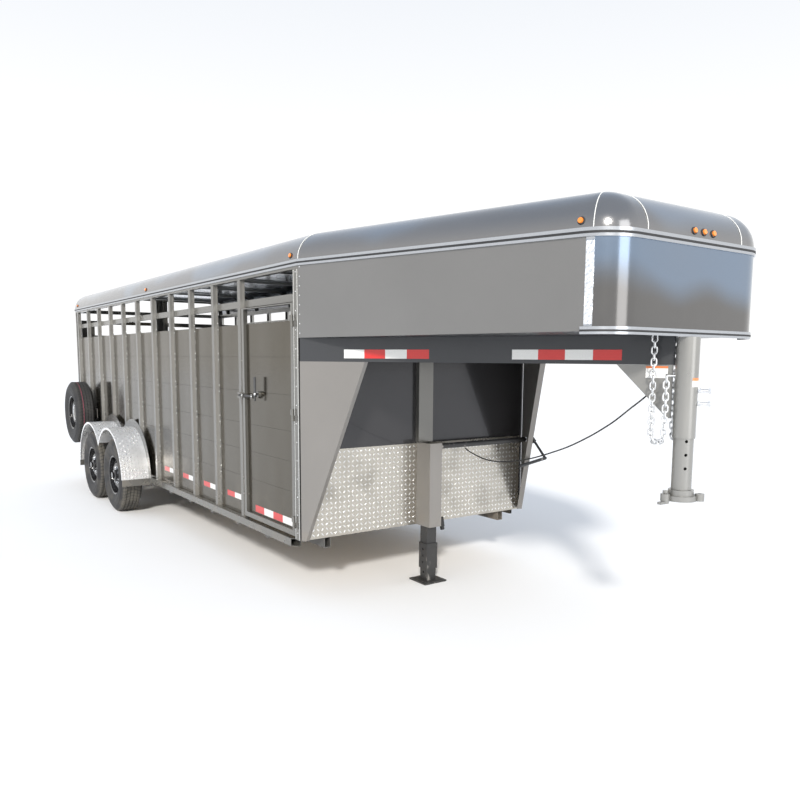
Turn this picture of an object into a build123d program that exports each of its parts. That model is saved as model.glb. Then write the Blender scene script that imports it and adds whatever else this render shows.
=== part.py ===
from build123d import *
from math import atan2, cos, pi, radians, sin, tan
import os

# Gooseneck livestock trailer, in millimetres. While it is modelled, X = 0 is the front wall, +X points to the
# truck, +Y to the left and Z = 0 is the ground. At the end everything is moved so that the origin is the middle
# of the jack's foot.

# ---------------------------------------------------------------- driving dimensions
HALF_WIDTH = 1045.5           # box, outside the wall posts
BOX_LENGTH = 6605.0
WALL_BOTTOM = 432.0
EAVE = 2328.0
ROOF_RADIUS = 200.0           # rounded roof shoulder
SHEET = 3.0
FLOOR_THICKNESS = 38.0
FLOOR_TOP = WALL_BOTTOM + FLOOR_THICKNESS

POST_WIDTH = 50.0
POST_DEPTH = 35.0
POST_PITCH = 550.5
POST_COUNT = 11
DOOR_POST_X = -985.0          # middle of the post behind the escape door
PANEL_SEAMS = (434.0, 753.0, 968.0, 1180.0, 1434.0, 1697.0, 1945.0)
SLAT_BOTTOM = 2073.0
SLAT_HEIGHT = 53.0
EAVE_RAIL = 48.0              # height of the square tube under the eave

NOSE_TAPER = 10.36            # degrees, each side panel turns inward
NOSE_FRONT = 2263.0
NOSE_BOTTOM = 1825.0
NOSE_DROP = 1.11              # degrees, the nose roof falls towards the front
CORNER_RADIUS = 205.0

NECK_ANGLE = 25.7             # degrees, the beams' turn inward from the box corners
NECK_BOTTOM = 1669.0
BEAM_WIDTH = 51.0
WEDGE_FOOT = 49.0             # length of the wedge panel along the neck line at the bottom
WEDGE_HEAD = 522.0            # and at the beam

COUPLER_X = 2242.0
SLEEVE_RADIUS = 57.15
SLEEVE_BOTTOM = 1296.0
SLEEVE_TOP = 1810.0           # just under the trim round the foot of the nose
STEM_RADIUS = 50.8
HEAD_TOP = 1029.0
HEAD_BOTTOM = 971.0
BALL_RADIUS = 29.8            # socket for a 2 5/16 in ball
STEM_HOLES = (1282.0, 1212.0)

JACK_X = 86.0
JACK_CASING = (172.0, 112.0)  # length along X, width along Y
JACK_TOP = 1066.0
FOOT_SIZE = 204.0
SHAFT_X = 106.0               # the crank shaft runs from the jack to the left side
SHAFT_Z = 1035.0
FOLD_PIN = (122.0, 1073.0, 1016.0)          # where the crank arm folds on its hub
FOLD_AXIS = (0.78, 0.0, 0.6258)

TYRE_RADIUS = 396.0
TYRE_WIDTH = 235.0
RIM_RADIUS = 203.0
WHEEL_Y = 1192.5
AXLES_X = (-3945.0, -4905.0)
AXLE_TUBE_Z = 296.0
SPINDLE_RADIUS = 30.0
FENDER_RADIUS = 540.0
FENDER_DROP = 21.0            # the arch centres lie this far below the wheel centres
FENDER_BACK = 58.0            # and this far behind or ahead of them
FENDER_BOTTOM = 405.0
FENDER_OUT = 1322.0
WHEEL_WELL = (-5530.0, -3320.0)  # the rub rail and the short cross members stop here
SPARE_X = -5912.0
SPARE_Z = 964.0

HINGE_RADIUS = 9.0
DOOR = (-944.0, -80.0, 450.0, 2063.0)       # rear edge, front edge, bottom, top
DOOR_HINGE = (-75.0, -1057.0)
DOOR_LATCH_Z = 1400.0
DOOR_SPINDLE = (-674.0, 1419.0)             # X and Z of the latch handle's spindle
GATE_HALF = 968.0
GATE = (-6650.0, -6612.0)                   # back and front face of the rear gate
GATE_HINGE = (-6632.0, 990.0)
GATE_LATCH_Z = 1250.0
CENTRE_GATE_X = -3310.0
CENTRE_GATE_HINGE_Y = 962.0

CABLE_RADIUS = 4.5
LINK_LENGTH = 41.0            # of a link's centre line
LINK_WIDTH = 26.0
LINK_BAR = 4.5
LINK_PITCH = 30.6
CHAIN_X = (2108.0, 2188.0)    # the falling and the rising side of the loop
CHAIN_Y = -92.0
CHAIN_TOP = 1790.0
CHAIN_BOTTOM = 1266.0
CHAIN_HOOK = 1618.0
GAP = 0.5                                   # between parts that only touch
RUNNING = 0.05                              # radial clearance of a pin in its bore


# ---------------------------------------------------------------- helpers
def block(x, y, z):
    """A box from its low and high corners along each axis."""
    size = (x[1] - x[0], y[1] - y[0], z[1] - z[0])
    return Pos((x[0] + x[1]) / 2, (y[0] + y[1]) / 2, (z[0] + z[1]) / 2) * Box(*size)


def tube(x, y, z, along, wall=SHEET):
    """A rectangular tube, hollow along one axis."""
    inner = [(low + wall, high - wall) for low, high in (x, y, z)]
    inner["XYZ".index(along)] = ((x, y, z)["XYZ".index(along)][0] - 1, (x, y, z)["XYZ".index(along)][1] + 1)
    return block(x, y, z) - block(*inner)


def rod(start, end, radius, bore=0.0):
    """A round bar or pipe between two points."""
    axis = Vector(*end) - Vector(*start)
    plane = Plane(origin=start, z_dir=axis)
    section = Circle(radius) - Circle(bore) if bore else Circle(radius)
    return extrude(plane * section, axis.length)


def both_sides(*solids):
    """The solids and their mirror images across the centre plane."""
    return list(solids) + [mirror(solid, about=Plane.XZ) for solid in solids]


def right(low, high):
    """A Y range on the right-hand side, given as distances from the centre plane."""
    return (-high, -low)


def neck(s, out, z):
    """A point s mm along the right neck line, out mm outside it."""
    a = radians(NECK_ANGLE)
    return (s * cos(a) + out * sin(a), -HALF_WIDTH + s * sin(a) - out * cos(a), z)


def neck_plane(out):
    """The plane of the right neck line: its x runs along the line, its y up, its z outwards."""
    a = radians(NECK_ANGLE)
    return Plane(origin=neck(0, out, 0), x_dir=(cos(a), sin(a), 0), z_dir=(sin(a), -cos(a), 0))


def nose_plan(inset=0.0):
    """The nose seen from above, as a face on the ground plane."""
    slope = tan(radians(NOSE_TAPER))
    shift = inset / cos(radians(NOSE_TAPER))
    front = NOSE_FRONT - inset
    back_half = HALF_WIDTH - shift
    front_half = back_half - front * slope
    outline = Polyline((0, -back_half), (front, -front_half), (front, front_half), (0, back_half), close=True)
    face = make_face(outline)
    corners = face.vertices().filter_by(lambda v: v.X > 1)
    return fillet(corners, CORNER_RADIUS - inset)


def nose_prism(inset, bottom, top):
    return extrude(Pos(0, 0, bottom) * nose_plan(inset), top - bottom)


def tilted(solid):
    """Turn a part of the nose roof down to the front about the eave at the front wall."""
    return Pos(0, 0, EAVE) * (Rot(0, NOSE_DROP, 0) * (Pos(0, 0, -EAVE) * solid))


def below_eave():
    """Everything under the sloping eave of the nose."""
    return tilted(block((-300, NOSE_FRONT + 300), (-1300, 1300), (EAVE - 1000, EAVE)))


def post_positions():
    return [DOOR_POST_X - POST_PITCH * i for i in range(POST_COUNT)]


# ---------------------------------------------------------------- running gear
def chassis_rails():
    return both_sides(tube((-6600, -10), right(800, 851), (355, 431.5), "X", 5))


def cross_member_positions():
    return [-515 - POST_PITCH * i for i in range(12)]


def cross_members():
    solids = []
    for x in cross_member_positions():
        span = (x - 19, x + 19)
        solids.append(tube(span, (-799.5, 799.5), (355, 431.5), "Y"))
        if not WHEEL_WELL[0] < x < WHEEL_WELL[1]:
            solids += both_sides(tube(span, right(851.5, 1000), (355, 431.5), "Y"))
            solids += both_sides(block((x - 30, x + 30), right(1000.5, 1060), (358, 375.5)))
    return solids


def rub_rails():
    z = (376, 431.5)
    front = tube((WHEEL_WELL[1] - 45, -75), right(1000.5, 1062), z, "X")
    bevel = Pos(-75, -1062, 404) * Rot(0, 0, 45) * Box(60, 60, 80)
    rear = tube((-6604, WHEEL_WELL[0] + 50), right(1000.5, 1062), z, "X")
    return both_sides(front - bevel, rear)


def floor_planks():
    """Long treated boards across the width, with drainage gaps."""
    count = 14
    width = 2010.0 / count
    planks = []
    for i in range(count):
        low = -1005 + i * width
        planks.append(block((-6555, -71), (low + 2, low + width - 2), (WALL_BOTTOM, FLOOR_TOP)))
    return planks


def axle(x):
    """A drop axle: tube, two cranked ends and spindles."""
    beam = rod((x, -900, AXLE_TUBE_Z), (x, 900, AXLE_TUBE_Z), 32)
    arm = block((x - 30, x + 30), (-942, -900.5), (AXLE_TUBE_Z - 38, TYRE_RADIUS + 32))
    spindle = rod((x, -1250, TYRE_RADIUS), (x, -942.5, TYRE_RADIUS), SPINDLE_RADIUS)
    backing = rod((x, -1126, TYRE_RADIUS), (x, -1121, TYRE_RADIUS), 150)
    return [beam] + both_sides(arm, spindle + backing)


def axles():
    return [solid for x in AXLES_X for solid in axle(x)]


def leaf(x, z, half, y):
    """One arched leaf, lowest in the middle."""
    rise = half * half / 3600
    top = ThreePointArc((x - half, z + rise), (x, z), (x + half, z + rise))
    low = ThreePointArc((x - half, z + rise - 9), (x, z - 9), (x + half, z + rise - 9))
    ends = [Line(top @ 0, low @ 0), Line(top @ 1, low @ 1)]
    profile = make_face(Plane.XZ * Wire([e for part in (top, low) for e in part.edges()] + [e.edge() for e in ends]))
    return extrude(profile, 22, both=True).moved(Location((0, y, 0)))


def suspension():
    """Leaf springs under the axle tubes, hanging from plates on the rails."""
    solids = []
    spring_y = -600.0
    for x in AXLES_X:
        for layer, half in enumerate((410, 330, 240)):
            solids.append(leaf(x, AXLE_TUBE_Z - 32.5 - layer * 9.5, half, spring_y))
    middle = sum(AXLES_X) / 2
    for x in (AXLES_X[0] + 440, middle, AXLES_X[1] - 440):
        solids.append(block((x - 22, x + 22), (spring_y - 34, spring_y - 26), (285, 354.5)))
        solids.append(block((x - 22, x + 22), (spring_y + 26, spring_y + 34), (285, 354.5)))
    mount = block((AXLES_X[1] - 480, AXLES_X[0] + 480), (spring_y - 25.5, spring_y + 25.5), (340, 354.5))
    solids.append(mount)
    return both_sides(*solids)


def tyre():
    """A tyre about the Y axis, centred on the origin, with four grooves round the tread."""
    half = TYRE_WIDTH / 2
    outer = [(RIM_RADIUS + 0.5, -84), (RIM_RADIUS + 14, -84.5), (RIM_RADIUS + 19, -95), (255, -106),
             (300, -half), (345, -half + 4), (TYRE_RADIUS - 14, -92), (TYRE_RADIUS, -78)]
    inner = [(TYRE_RADIUS - 22, -78), (340, -half + 18), (295, -half + 12), (RIM_RADIUS + 1, -70)]
    section = outer + [(r, -y) for r, y in reversed(outer)]
    hollow = [(r, -y) for r, y in reversed(inner)] + inner
    body = revolve(Plane.XY * make_face(Polyline(*[(r, y) for r, y in section + hollow], close=True)), Axis.Y)
    for y in (-54, -18, 18, 54):
        body -= revolve(Plane.XY * Pos(TYRE_RADIUS, y) * Rectangle(16, 8), Axis.Y)
    return body


def rim():
    """A steel wheel facing -Y with eight windows, a hub and eight nuts."""
    profile = [(60, 40), (120, 58), (160, 46), (178, 20), (RIM_RADIUS - 12, -60), (RIM_RADIUS - 1, -86),
               (RIM_RADIUS + 12, -94), (RIM_RADIUS + 12, -88), (RIM_RADIUS, -85.5), (RIM_RADIUS - 0.5, -68),
               (RIM_RADIUS - 6, 0), (RIM_RADIUS - 0.5, 68), (RIM_RADIUS, 85.5), (RIM_RADIUS + 12, 88),
               (RIM_RADIUS + 12, 94), (RIM_RADIUS - 4, 88), (RIM_RADIUS - 12, 20), (176, 34), (160, 56), (120, 68),
               (60, 50)]
    flipped = [(r, -y) for r, y in profile]
    wheel = revolve(Plane.XY * make_face(Polyline(*flipped, close=True)), Axis.Y)
    for i in range(8):
        window = Rot(0, 45 * i, 0) * Pos(143, 0, 0) * Rot(90, 0, 0) * extrude(Ellipse(15, 24), 150, both=True)
        wheel -= window
    for i in range(8):
        wheel -= Rot(0, 45 * i + 22.5, 0) * Pos(82.5, 0, 0) * Rot(90, 0, 0) * Cylinder(8, 300)
    bore = SPINDLE_RADIUS + RUNNING
    hub = revolve(Plane.XY * make_face(Polyline(
        (bore, 62), (148, 62), (148, -14), (139, -20), (100, -20), (100, -39), (59.5, -39), (59.5, -88),
        (40, -96), (0, -96), (0, -60), (bore, -60), close=True)), Axis.Y)
    cap = Pos(0, -105, 0) * Rot(90, 0, 0) * Cylinder(34, 17)
    nuts = []
    for i in range(8):
        place = Rot(0, 45 * i + 22.5, 0) * Pos(82.5, 0, 0) * Rot(90, 0, 0)
        nuts.append(place * Pos(0, 0, 67.5) * extrude(RegularPolygon(13, 6), 10, both=True))
    return [wheel, hub, cap] + nuts


def placed_wheel(solids, x, side):
    """Wheel parts on one hub: side is -1 on the right and 1 on the left."""
    turn = Rot(0, 0, 0 if side < 0 else 180)
    return [Pos(x, side * WHEEL_Y, TYRE_RADIUS) * turn * solid for solid in solids]


# ---------------------------------------------------------------- fenders
def arch_centres():
    back = FENDER_BACK
    return [AXLES_X[0] - back, AXLES_X[1] + back]


def double_arch(radius):
    """Two overlapping discs, seen from the side."""
    z = TYRE_RADIUS - FENDER_DROP
    first, second = [Pos(x, z) * Circle(radius) for x in arch_centres()]
    return first + second


def arch_ring(outer, inner, bottom, y):
    """The band between two double arches, above a level, extruded over a Y range."""
    keep = Pos(sum(AXLES_X) / 2, bottom + 500) * Rectangle(4000, 1000)
    band = (double_arch(outer) - double_arch(inner)) & keep
    band = Plane.XZ * band
    solid = extrude(band, y[1] - y[0])
    return solid.moved(Location((0, y[1], 0)))


def fenders():
    skin = arch_ring(FENDER_RADIUS, FENDER_RADIUS - SHEET, FENDER_BOTTOM, right(1049, FENDER_OUT))
    lip = arch_ring(FENDER_RADIUS, FENDER_RADIUS - 22, FENDER_BOTTOM, right(FENDER_OUT, FENDER_OUT + SHEET))
    return both_sides(skin + lip)


def fender_plates():
    """Flat plates on the wall round the arches, and a skirt across each open end."""
    plate = arch_ring(FENDER_RADIUS + 85, FENDER_RADIUS - SHEET, 335, right(1046, 1048.5))
    front = arch_centres()[0] + FENDER_RADIUS
    rear = arch_centres()[1] - FENDER_RADIUS
    skirts = [block((x - 3, x + 3), right(1049, FENDER_OUT + 3), (335, FENDER_BOTTOM - GAP)) for x in (front, rear)]
    return both_sides(plate, *skirts)


# ---------------------------------------------------------------- box walls
def post(x, bottom=WALL_BOTTOM):
    """A hat-section post on the right wall, open towards the inside."""
    outside = -HALF_WIDTH
    inside = outside + POST_DEPTH
    hat = tube((x - POST_WIDTH / 2, x + POST_WIDTH / 2), (outside, inside + 10), (bottom, EAVE - EAVE_RAIL), "Z")
    hat -= block((x - 40, x + 40), (inside, inside + 20), (bottom - 1, EAVE))
    for side in (-1, 1):
        edge = x + side * POST_WIDTH / 2
        flange = (edge, edge + 14) if side > 0 else (edge - 14, edge)
        hat += block(flange, (inside - SHEET, inside), (bottom, EAVE - EAVE_RAIL))
    return hat


def wall_posts():
    """Posts on both sides, one more on the left opposite the door, and the door bar's keeper."""
    posts = both_sides(*[post(x) for x in post_positions()])
    opposite_door = mirror(post(DOOR_POST_X + POST_PITCH), about=Plane.XZ)
    return posts + [opposite_door] + door_keeper()


def wall_panels(front):
    """Plank-like sheets just inside the posts, from the rear to a given X."""
    sheets = []
    for low, high in zip(PANEL_SEAMS, PANEL_SEAMS[1:]):
        sheets.append(block((-6555, front), right(1007, 1010), (low + 0.6, high - 0.6)))
    return sheets


def side_panels():
    left = [mirror(sheet, about=Plane.XZ) for sheet in wall_panels(-72)]
    return wall_panels(DOOR_POST_X + 20) + left


def wall_rails():
    """The square tube under each eave and the slat rail behind the posts."""
    eave = tube((-6604, -0.5), right(HALF_WIDTH - 45, HALF_WIDTH), (EAVE - EAVE_RAIL + GAP, EAVE), "X")
    slat = tube((-6555, -71), right(980, 1009.5), (SLAT_BOTTOM, SLAT_BOTTOM + SLAT_HEIGHT), "X")
    return both_sides(eave, slat)


def rear_frame():
    """Corner posts, header and sill round the rear gateway, and the rim of the open arch above it."""
    corner = tube((-6604, -6556), right(985, HALF_WIDTH), (WALL_BOTTOM, EAVE - EAVE_RAIL), "Z")
    header = tube((-6604, -6556), (-1000, 1000), (EAVE - EAVE_RAIL + GAP, EAVE), "Y")
    sill = tube((-6604, -6556), (-984.5, 984.5), (WALL_BOTTOM, FLOOR_TOP), "Y")
    plane = Plane(origin=(-6604, 0, 0), x_dir=(0, 1, 0), z_dir=(1, 0, 0))
    rim = extrude(plane * (roof_section(2.5) - roof_section(34)), 20)
    return both_sides(corner) + [header, sill] + [Pos(0, 0, GAP) * piece for piece in rim.solids()]


def front_posts():
    """Corner posts at the front of the box and the post in the middle of the front wall."""
    corner = tube((-70, -3.5), right(985, HALF_WIDTH), (WALL_BOTTOM, EAVE - EAVE_RAIL), "Z")
    middle = tube((0.5, 42), (-66, 66), (JACK_TOP + 1, NOSE_BOTTOM - 1), "Z")
    sill = tube((-70, -3.5), (-984.5, 984.5), (WALL_BOTTOM, FLOOR_TOP), "Y")
    return both_sides(corner) + [middle, sill]


def front_wall():
    return [block((-3, 0), (-1044, 1044), (WALL_BOTTOM + 2, NOSE_BOTTOM - 4))]


def kick_plate():
    """Tread plate on both sides of the jack."""
    edge = JACK_CASING[1] / 2 + GAP
    return both_sides(block((0.2, 3.2), right(edge, 1018), (WALL_BOTTOM, 1056)))


# ---------------------------------------------------------------- gooseneck
def wedge_panels():
    """Side sheets below the beams, with a slanted front edge folded inwards."""
    plane = neck_plane(-SHEET)
    low, high = WALL_BOTTOM + 4, NECK_BOTTOM - GAP
    sheet = make_face(Polyline((10, low), (WEDGE_FOOT, low), (WEDGE_HEAD, high), (10, high), close=True))
    panel = extrude(plane * sheet, SHEET)
    slant = atan2(WEDGE_HEAD - WEDGE_FOOT, high - low)
    depth = SHEET / cos(slant)
    fold = make_face(Polyline((WEDGE_FOOT - depth, low), (WEDGE_FOOT, low), (WEDGE_HEAD, high),
                              (WEDGE_HEAD - depth, high), close=True))
    flange = extrude(neck_plane(-42) * fold, 39.5)
    panel = panel + flange
    opening = rod((SHAFT_X, 900, SHAFT_Z), (SHAFT_X, 1100, SHAFT_Z), 18)
    return [panel, mirror(panel, about=Plane.XZ) - opening]


def gooseneck_beams():
    """Two deep tubes from the box corners to the coupler."""
    top = NOSE_BOTTOM - 1
    outer = make_face(Polyline((12, NECK_BOTTOM), (2404, NECK_BOTTOM), (2404, top), (12, top), close=True))
    wall = 6.0
    inner = make_face(Polyline((6, NECK_BOTTOM + wall), (2410, NECK_BOTTOM + wall), (2410, top - wall),
                               (6, top - wall), close=True))
    beam = extrude(neck_plane(-BEAM_WIDTH) * outer, BEAM_WIDTH)
    beam -= extrude(neck_plane(-BEAM_WIDTH + wall) * inner, BEAM_WIDTH - 2 * wall)
    beam -= block((-100, 1.0), (-1200, 0), (NECK_BOTTOM - 10, top + 10))
    beam -= block((1500, 2600), (-1, 300), (NECK_BOTTOM - 10, top + 10))
    beam -= rod((COUPLER_X, 0, 1000), (COUPLER_X, 0, 2000), SLEEVE_RADIUS + GAP)
    return both_sides(beam)


def neck_gussets():
    """Triangular plates that brace the coupler sleeve under each beam."""
    top = NECK_BOTTOM - GAP
    shape = make_face(Polyline((2110, top), (2404, top), (2404, 1391), (2380, 1391), close=True))
    plate = extrude(neck_plane(-14) * shape, 10)
    plate -= block((1500, 2600), (-1, 300), (1300, 1800))
    plate -= rod((COUPLER_X, 0, 1000), (COUPLER_X, 0, 2000), SLEEVE_RADIUS + GAP)
    return both_sides(plate)


def neck_half_width(x):
    """Half the clear width between the beams at a given X."""
    a = radians(NECK_ANGLE)
    return HALF_WIDTH - x * tan(a) - BEAM_WIDTH / cos(a)


def nose_cross_members():
    solids = []
    for x in (420, 860, 1300, 1700):
        half = neck_half_width(x + 19) - 3
        solids.append(tube((x - 19, x + 19), (-half, half), (NOSE_BOTTOM - 77, NOSE_BOTTOM - 1), "Y"))
    return solids


def nose_floor():
    plate = nose_prism(SHEET + 1, NOSE_BOTTOM, NOSE_BOTTOM + SHEET)
    return [plate - block((-10, 0.5), (-1200, 1200), (1800, 1900))]


def nose_wall():
    """The whole bent wall of the nose, before it is cut into its three sheets."""
    wall = nose_prism(0, NOSE_BOTTOM, EAVE + 10) - nose_prism(SHEET, NOSE_BOTTOM - 20, EAVE + 20)
    wall -= block((-10, 0.5), (-1200, 1200), (1700, 2500))
    return wall & below_eave()


SIDE_SHEET_END = 2140.0


def nose_side_panels():
    ahead = block((SIDE_SHEET_END, 3000), (-1200, 1200), (1700, 2500))
    split = nose_wall() - ahead
    return list(split.solids())


def nose_front_skin():
    behind = block((-10, SIDE_SHEET_END + GAP), (-1200, 1200), (1700, 2500))
    return list((nose_wall() - behind).solids())


# ---------------------------------------------------------------- roof
def roof_section(inset):
    """The rounded roof profile in a plane across the trailer: its x is Y and its y is the height."""
    half = HALF_WIDTH - inset
    radius = ROOF_RADIUS - inset
    box = Pos(0, EAVE + ROOF_RADIUS / 2 - inset / 2) * Rectangle(2 * half, ROOF_RADIUS - inset)
    top = box.vertices().filter_by(lambda v: v.Y > EAVE + 10)
    return fillet(top, radius - 0.5)


def roof_main():
    plane = Plane(origin=(0, 0, 0), x_dir=(0, 1, 0), z_dir=(1, 0, 0))
    outer = extrude(plane * roof_section(0), BOX_LENGTH)
    inner = extrude(plane * roof_section(2), BOX_LENGTH - 2)
    shell = outer - Pos(-1, 0, 0) * (inner - block((0, 1e4), (-1200, 1200), (EAVE - 1, EAVE + 0.5)))
    shell -= block((-10, BOX_LENGTH + 10), (-HALF_WIDTH + 2, HALF_WIDTH - 2), (EAVE - 1, EAVE + 2.5))
    return [Pos(-BOX_LENGTH, 0, GAP) * shell]


def roof_nose():
    """The roof over the nose: a slab with all its outer edges rounded, hollowed out."""
    def dome(inset):
        body = nose_prism(inset, EAVE, EAVE + ROOF_RADIUS - inset)
        rim_edges = [e for e in body.edges().group_by(Axis.Z)[-1] if (e @ 0.5).X > 1]
        return fillet(rim_edges, ROOF_RADIUS - inset - 0.5)
    shell = dome(0) - dome(2)
    shell -= block((-10, 2.5), (-1200, 1200), (2000, 3000))
    shell -= nose_prism(2, EAVE - 5, EAVE + 3)
    return [tilted(Pos(0, 0, GAP) * shell)]


def roof_bows():
    """Ribs under the roof: a straight tube and a rolled end at each side."""
    solids = []
    inner = ROOF_RADIUS - 4
    for x in range(-6300, -100, 1025):
        top = EAVE + inner
        flat = HALF_WIDTH - ROOF_RADIUS
        solids.append(tube((x - 16, x + 16), (-flat, flat), (top - 24, top), "Y", 2))
        ring = Circle(inner) - Circle(inner - 24)
        quarter = ring & (Pos(-inner / 2 - 0.5, inner / 2) * Rectangle(inner, inner - GAP))
        plane = Plane(origin=(x - 16, -flat, EAVE), x_dir=(0, 1, 0), z_dir=(1, 0, 0))
        solids += both_sides(extrude(plane * quarter, 32))
    return solids


def edge_trim():
    """Bright extrusion along both eaves and round the nose, a band round its foot and its corner strips."""
    profile_out = 9.0
    band = (EAVE - 30.0, EAVE + 12.0)
    box_trim = block((-6604, 0), right(HALF_WIDTH + GAP, HALF_WIDTH + profile_out), band)
    ring = nose_prism(-profile_out, *band) - nose_prism(-1.5, band[0] - 1, band[1] + 1)
    ring -= block((-100, 0.5), (-1200, 1200), (2000, 2500))
    foot = nose_prism(-profile_out, NOSE_BOTTOM - 14, NOSE_BOTTOM + 22)
    foot -= nose_prism(-GAP, NOSE_BOTTOM - 20, NOSE_BOTTOM + 30)
    foot -= block((-100, SIDE_SHEET_END - 30), (-1200, 1200), (1700, 2000))
    groove_top = nose_prism(-20, EAVE - 16, EAVE - 4) - nose_prism(-5, EAVE - 17, EAVE - 3)
    groove_low = nose_prism(-20, NOSE_BOTTOM - 2, NOSE_BOTTOM + 8) - nose_prism(-5, NOSE_BOTTOM - 3, NOSE_BOTTOM + 9)
    ring = tilted(ring - groove_top)
    slot = block((-7000, 10), right(HALF_WIDTH + 5, HALF_WIDTH + 20), (EAVE - 16, EAVE - 4))
    strip_ring = nose_prism(-4, NOSE_BOTTOM + 23, EAVE + 10) - nose_prism(-GAP, NOSE_BOTTOM, EAVE + 20)
    strip_ring = strip_ring & block((SIDE_SHEET_END - 16, SIDE_SHEET_END + 20), (-1200, 1200), (1700, 2500))
    strip_ring = strip_ring & tilted(block((-300, 2600), (-1300, 1300), (EAVE - 1000, EAVE - 31)))
    return both_sides(box_trim - slot) + [ring, foot - groove_low] + list(strip_ring.solids())


def trim_insert():
    """Dark rubber in the groove of the trim."""
    box_strip = block((-6604, 0), right(HALF_WIDTH + 5 + 0.2, HALF_WIDTH + 10), (EAVE - 15.7, EAVE - 4.3))
    top = nose_prism(-10, EAVE - 15.7, EAVE - 4.3) - nose_prism(-5.2, EAVE - 17, EAVE - 3)
    top = tilted(top - block((-100, 0.5), (-1200, 1200), (2000, 2500)))
    low = nose_prism(-10, NOSE_BOTTOM - 1.7, NOSE_BOTTOM + 7.7)
    low -= nose_prism(-5.2, NOSE_BOTTOM - 3, NOSE_BOTTOM + 9)
    low -= block((-100, SIDE_SHEET_END - 30), (-1200, 1200), (1700, 2000))
    return both_sides(box_strip) + [top, low]


# ---------------------------------------------------------------- lamps
def lamp(point, normal, radius=13.0, depth=10.0):
    """A small round clearance lamp standing on a surface."""
    start = Vector(*point) + Vector(*normal).normalized() * 0.6
    lens = rod(tuple(start), tuple(start + Vector(*normal).normalized() * depth), radius)
    return lens


def marker_lamps():
    slope = radians(NOSE_TAPER)
    lean = radians(13)
    rise = ROOF_RADIUS * sin(lean)
    run = ROOF_RADIUS * (1 - cos(lean))
    lamps = []
    nose_x = 2090.0
    half = HALF_WIDTH - nose_x * tan(slope) - run
    drop = nose_x * tan(radians(NOSE_DROP))
    outward = (sin(slope) * cos(lean), -cos(slope) * cos(lean), sin(lean))
    side = lamp((nose_x, -half - 1, EAVE + rise - drop), outward)
    lamps += both_sides(side)
    for y in (-25, 55, 135):
        drop = NOSE_FRONT * tan(radians(NOSE_DROP))
        lamps.append(lamp((NOSE_FRONT - run + 1, y, EAVE + rise - drop + 1), (cos(lean), 0, sin(lean))))
    for x in (-110.0, -3360.0, -6470.0):
        box_half = HALF_WIDTH - run
        lamps += both_sides(lamp((x, -box_half - 1, EAVE + rise + 1.5), (0, -cos(lean), sin(lean))))
    return lamps


def tail_lamps():
    solids = []
    corner_y = -(985 + HALF_WIDTH) / 2
    for z in (760.0, 860.0):
        solids.append(rod((-6604.5, corner_y, z), (-6620, corner_y, z), 27))
    top = [rod((-6604.5, y, EAVE - 24), (-6614, y, EAVE - 24), 13) for y in (-80, 0, 80)]
    return both_sides(*solids) + top


# ---------------------------------------------------------------- spare wheel
def spare_place():
    return Pos(SPARE_X, -(1075 + TYRE_WIDTH / 2), SPARE_Z)


def spare_tyre():
    return [spare_place() * tyre()]


def spare_rim():
    return [spare_place() * rim()[0]]


def spare_bracket():
    """A cross plate on two posts with a stub and a nut plate through the spare's centre."""
    plate = block((SPARE_X - 330, SPARE_X + 330), right(1046, 1054), (SPARE_Z - 60, SPARE_Z + 60))
    stub = rod((SPARE_X, -1054.5, SPARE_Z), (SPARE_X, -1247, SPARE_Z), 24)
    washer = rod((SPARE_X, -1247.5, SPARE_Z), (SPARE_X, -1253, SPARE_Z), 72)
    return [plate, stub, washer]


# ---------------------------------------------------------------- jack
def jack_casing():
    """The welded box that the jack's leg slides in."""
    half_y = JACK_CASING[1] / 2
    casing = tube((0.5, JACK_CASING[0]), (-half_y, half_y), (WALL_BOTTOM, JACK_TOP), "Z", 5)
    casing -= rod((SHAFT_X, 0, SHAFT_Z), (SHAFT_X, 100, SHAFT_Z), 24)
    return [casing]


def jack_cross_tube():
    """The tube that carries the crank shaft to the left side, the shaft, its hub and the hub's two ears."""
    carrier = rod((SHAFT_X, 52, SHAFT_Z), (SHAFT_X, 975, SHAFT_Z), 21, 17)
    shaft = rod((SHAFT_X, 10, SHAFT_Z), (SHAFT_X, 1050, SHAFT_Z), 12)
    hub_x, hub_z = (SHAFT_X + FOLD_PIN[0]) / 2, (SHAFT_Z + FOLD_PIN[2]) / 2
    hub_face = FOLD_PIN[1] - 10.6
    hub = rod((hub_x, 1050, hub_z), (hub_x, hub_face, hub_z), 28)
    ears = []
    for near in (-14.8, 10.8):
        plane = Plane(origin=Vector(*FOLD_PIN) + Vector(*FOLD_AXIS) * near, x_dir=(0, 1, 0), z_dir=FOLD_AXIS)
        web = Pos((hub_face + GAP - FOLD_PIN[1]) / 2, 0) * Rectangle(FOLD_PIN[1] - hub_face - GAP, 18)
        ears.append(extrude(plane * (Circle(9) + web - Circle(4 + RUNNING)), 4))
    return [carrier, shaft + hub] + ears


def jack_leg():
    """The square inner leg, its collar and the drop leg with the foot plate."""
    leg = tube((JACK_X - 43, JACK_X + 43), (-43, 43), (300, 755), "Z", 6)
    collar = tube((JACK_X - 50, JACK_X + 50), (-50, 50), (102, 299.5), "Z", 5.5)
    drop = tube((JACK_X - 42, JACK_X + 42), (-42, 42), (12.5, 285), "Z", 6)
    for z in (70.0, 240.0):
        drop -= rod((JACK_X, -60, z), (JACK_X, 60, z), 9)
    for z in (150.0, 200.0, 250.0):
        collar -= rod((JACK_X, -60, z), (JACK_X, 60, z), 9)
    foot = block((JACK_X - FOOT_SIZE / 2, JACK_X + FOOT_SIZE / 2), (-FOOT_SIZE / 2, FOOT_SIZE / 2), (0, 12))
    return [leg, collar, drop, foot]


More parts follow.
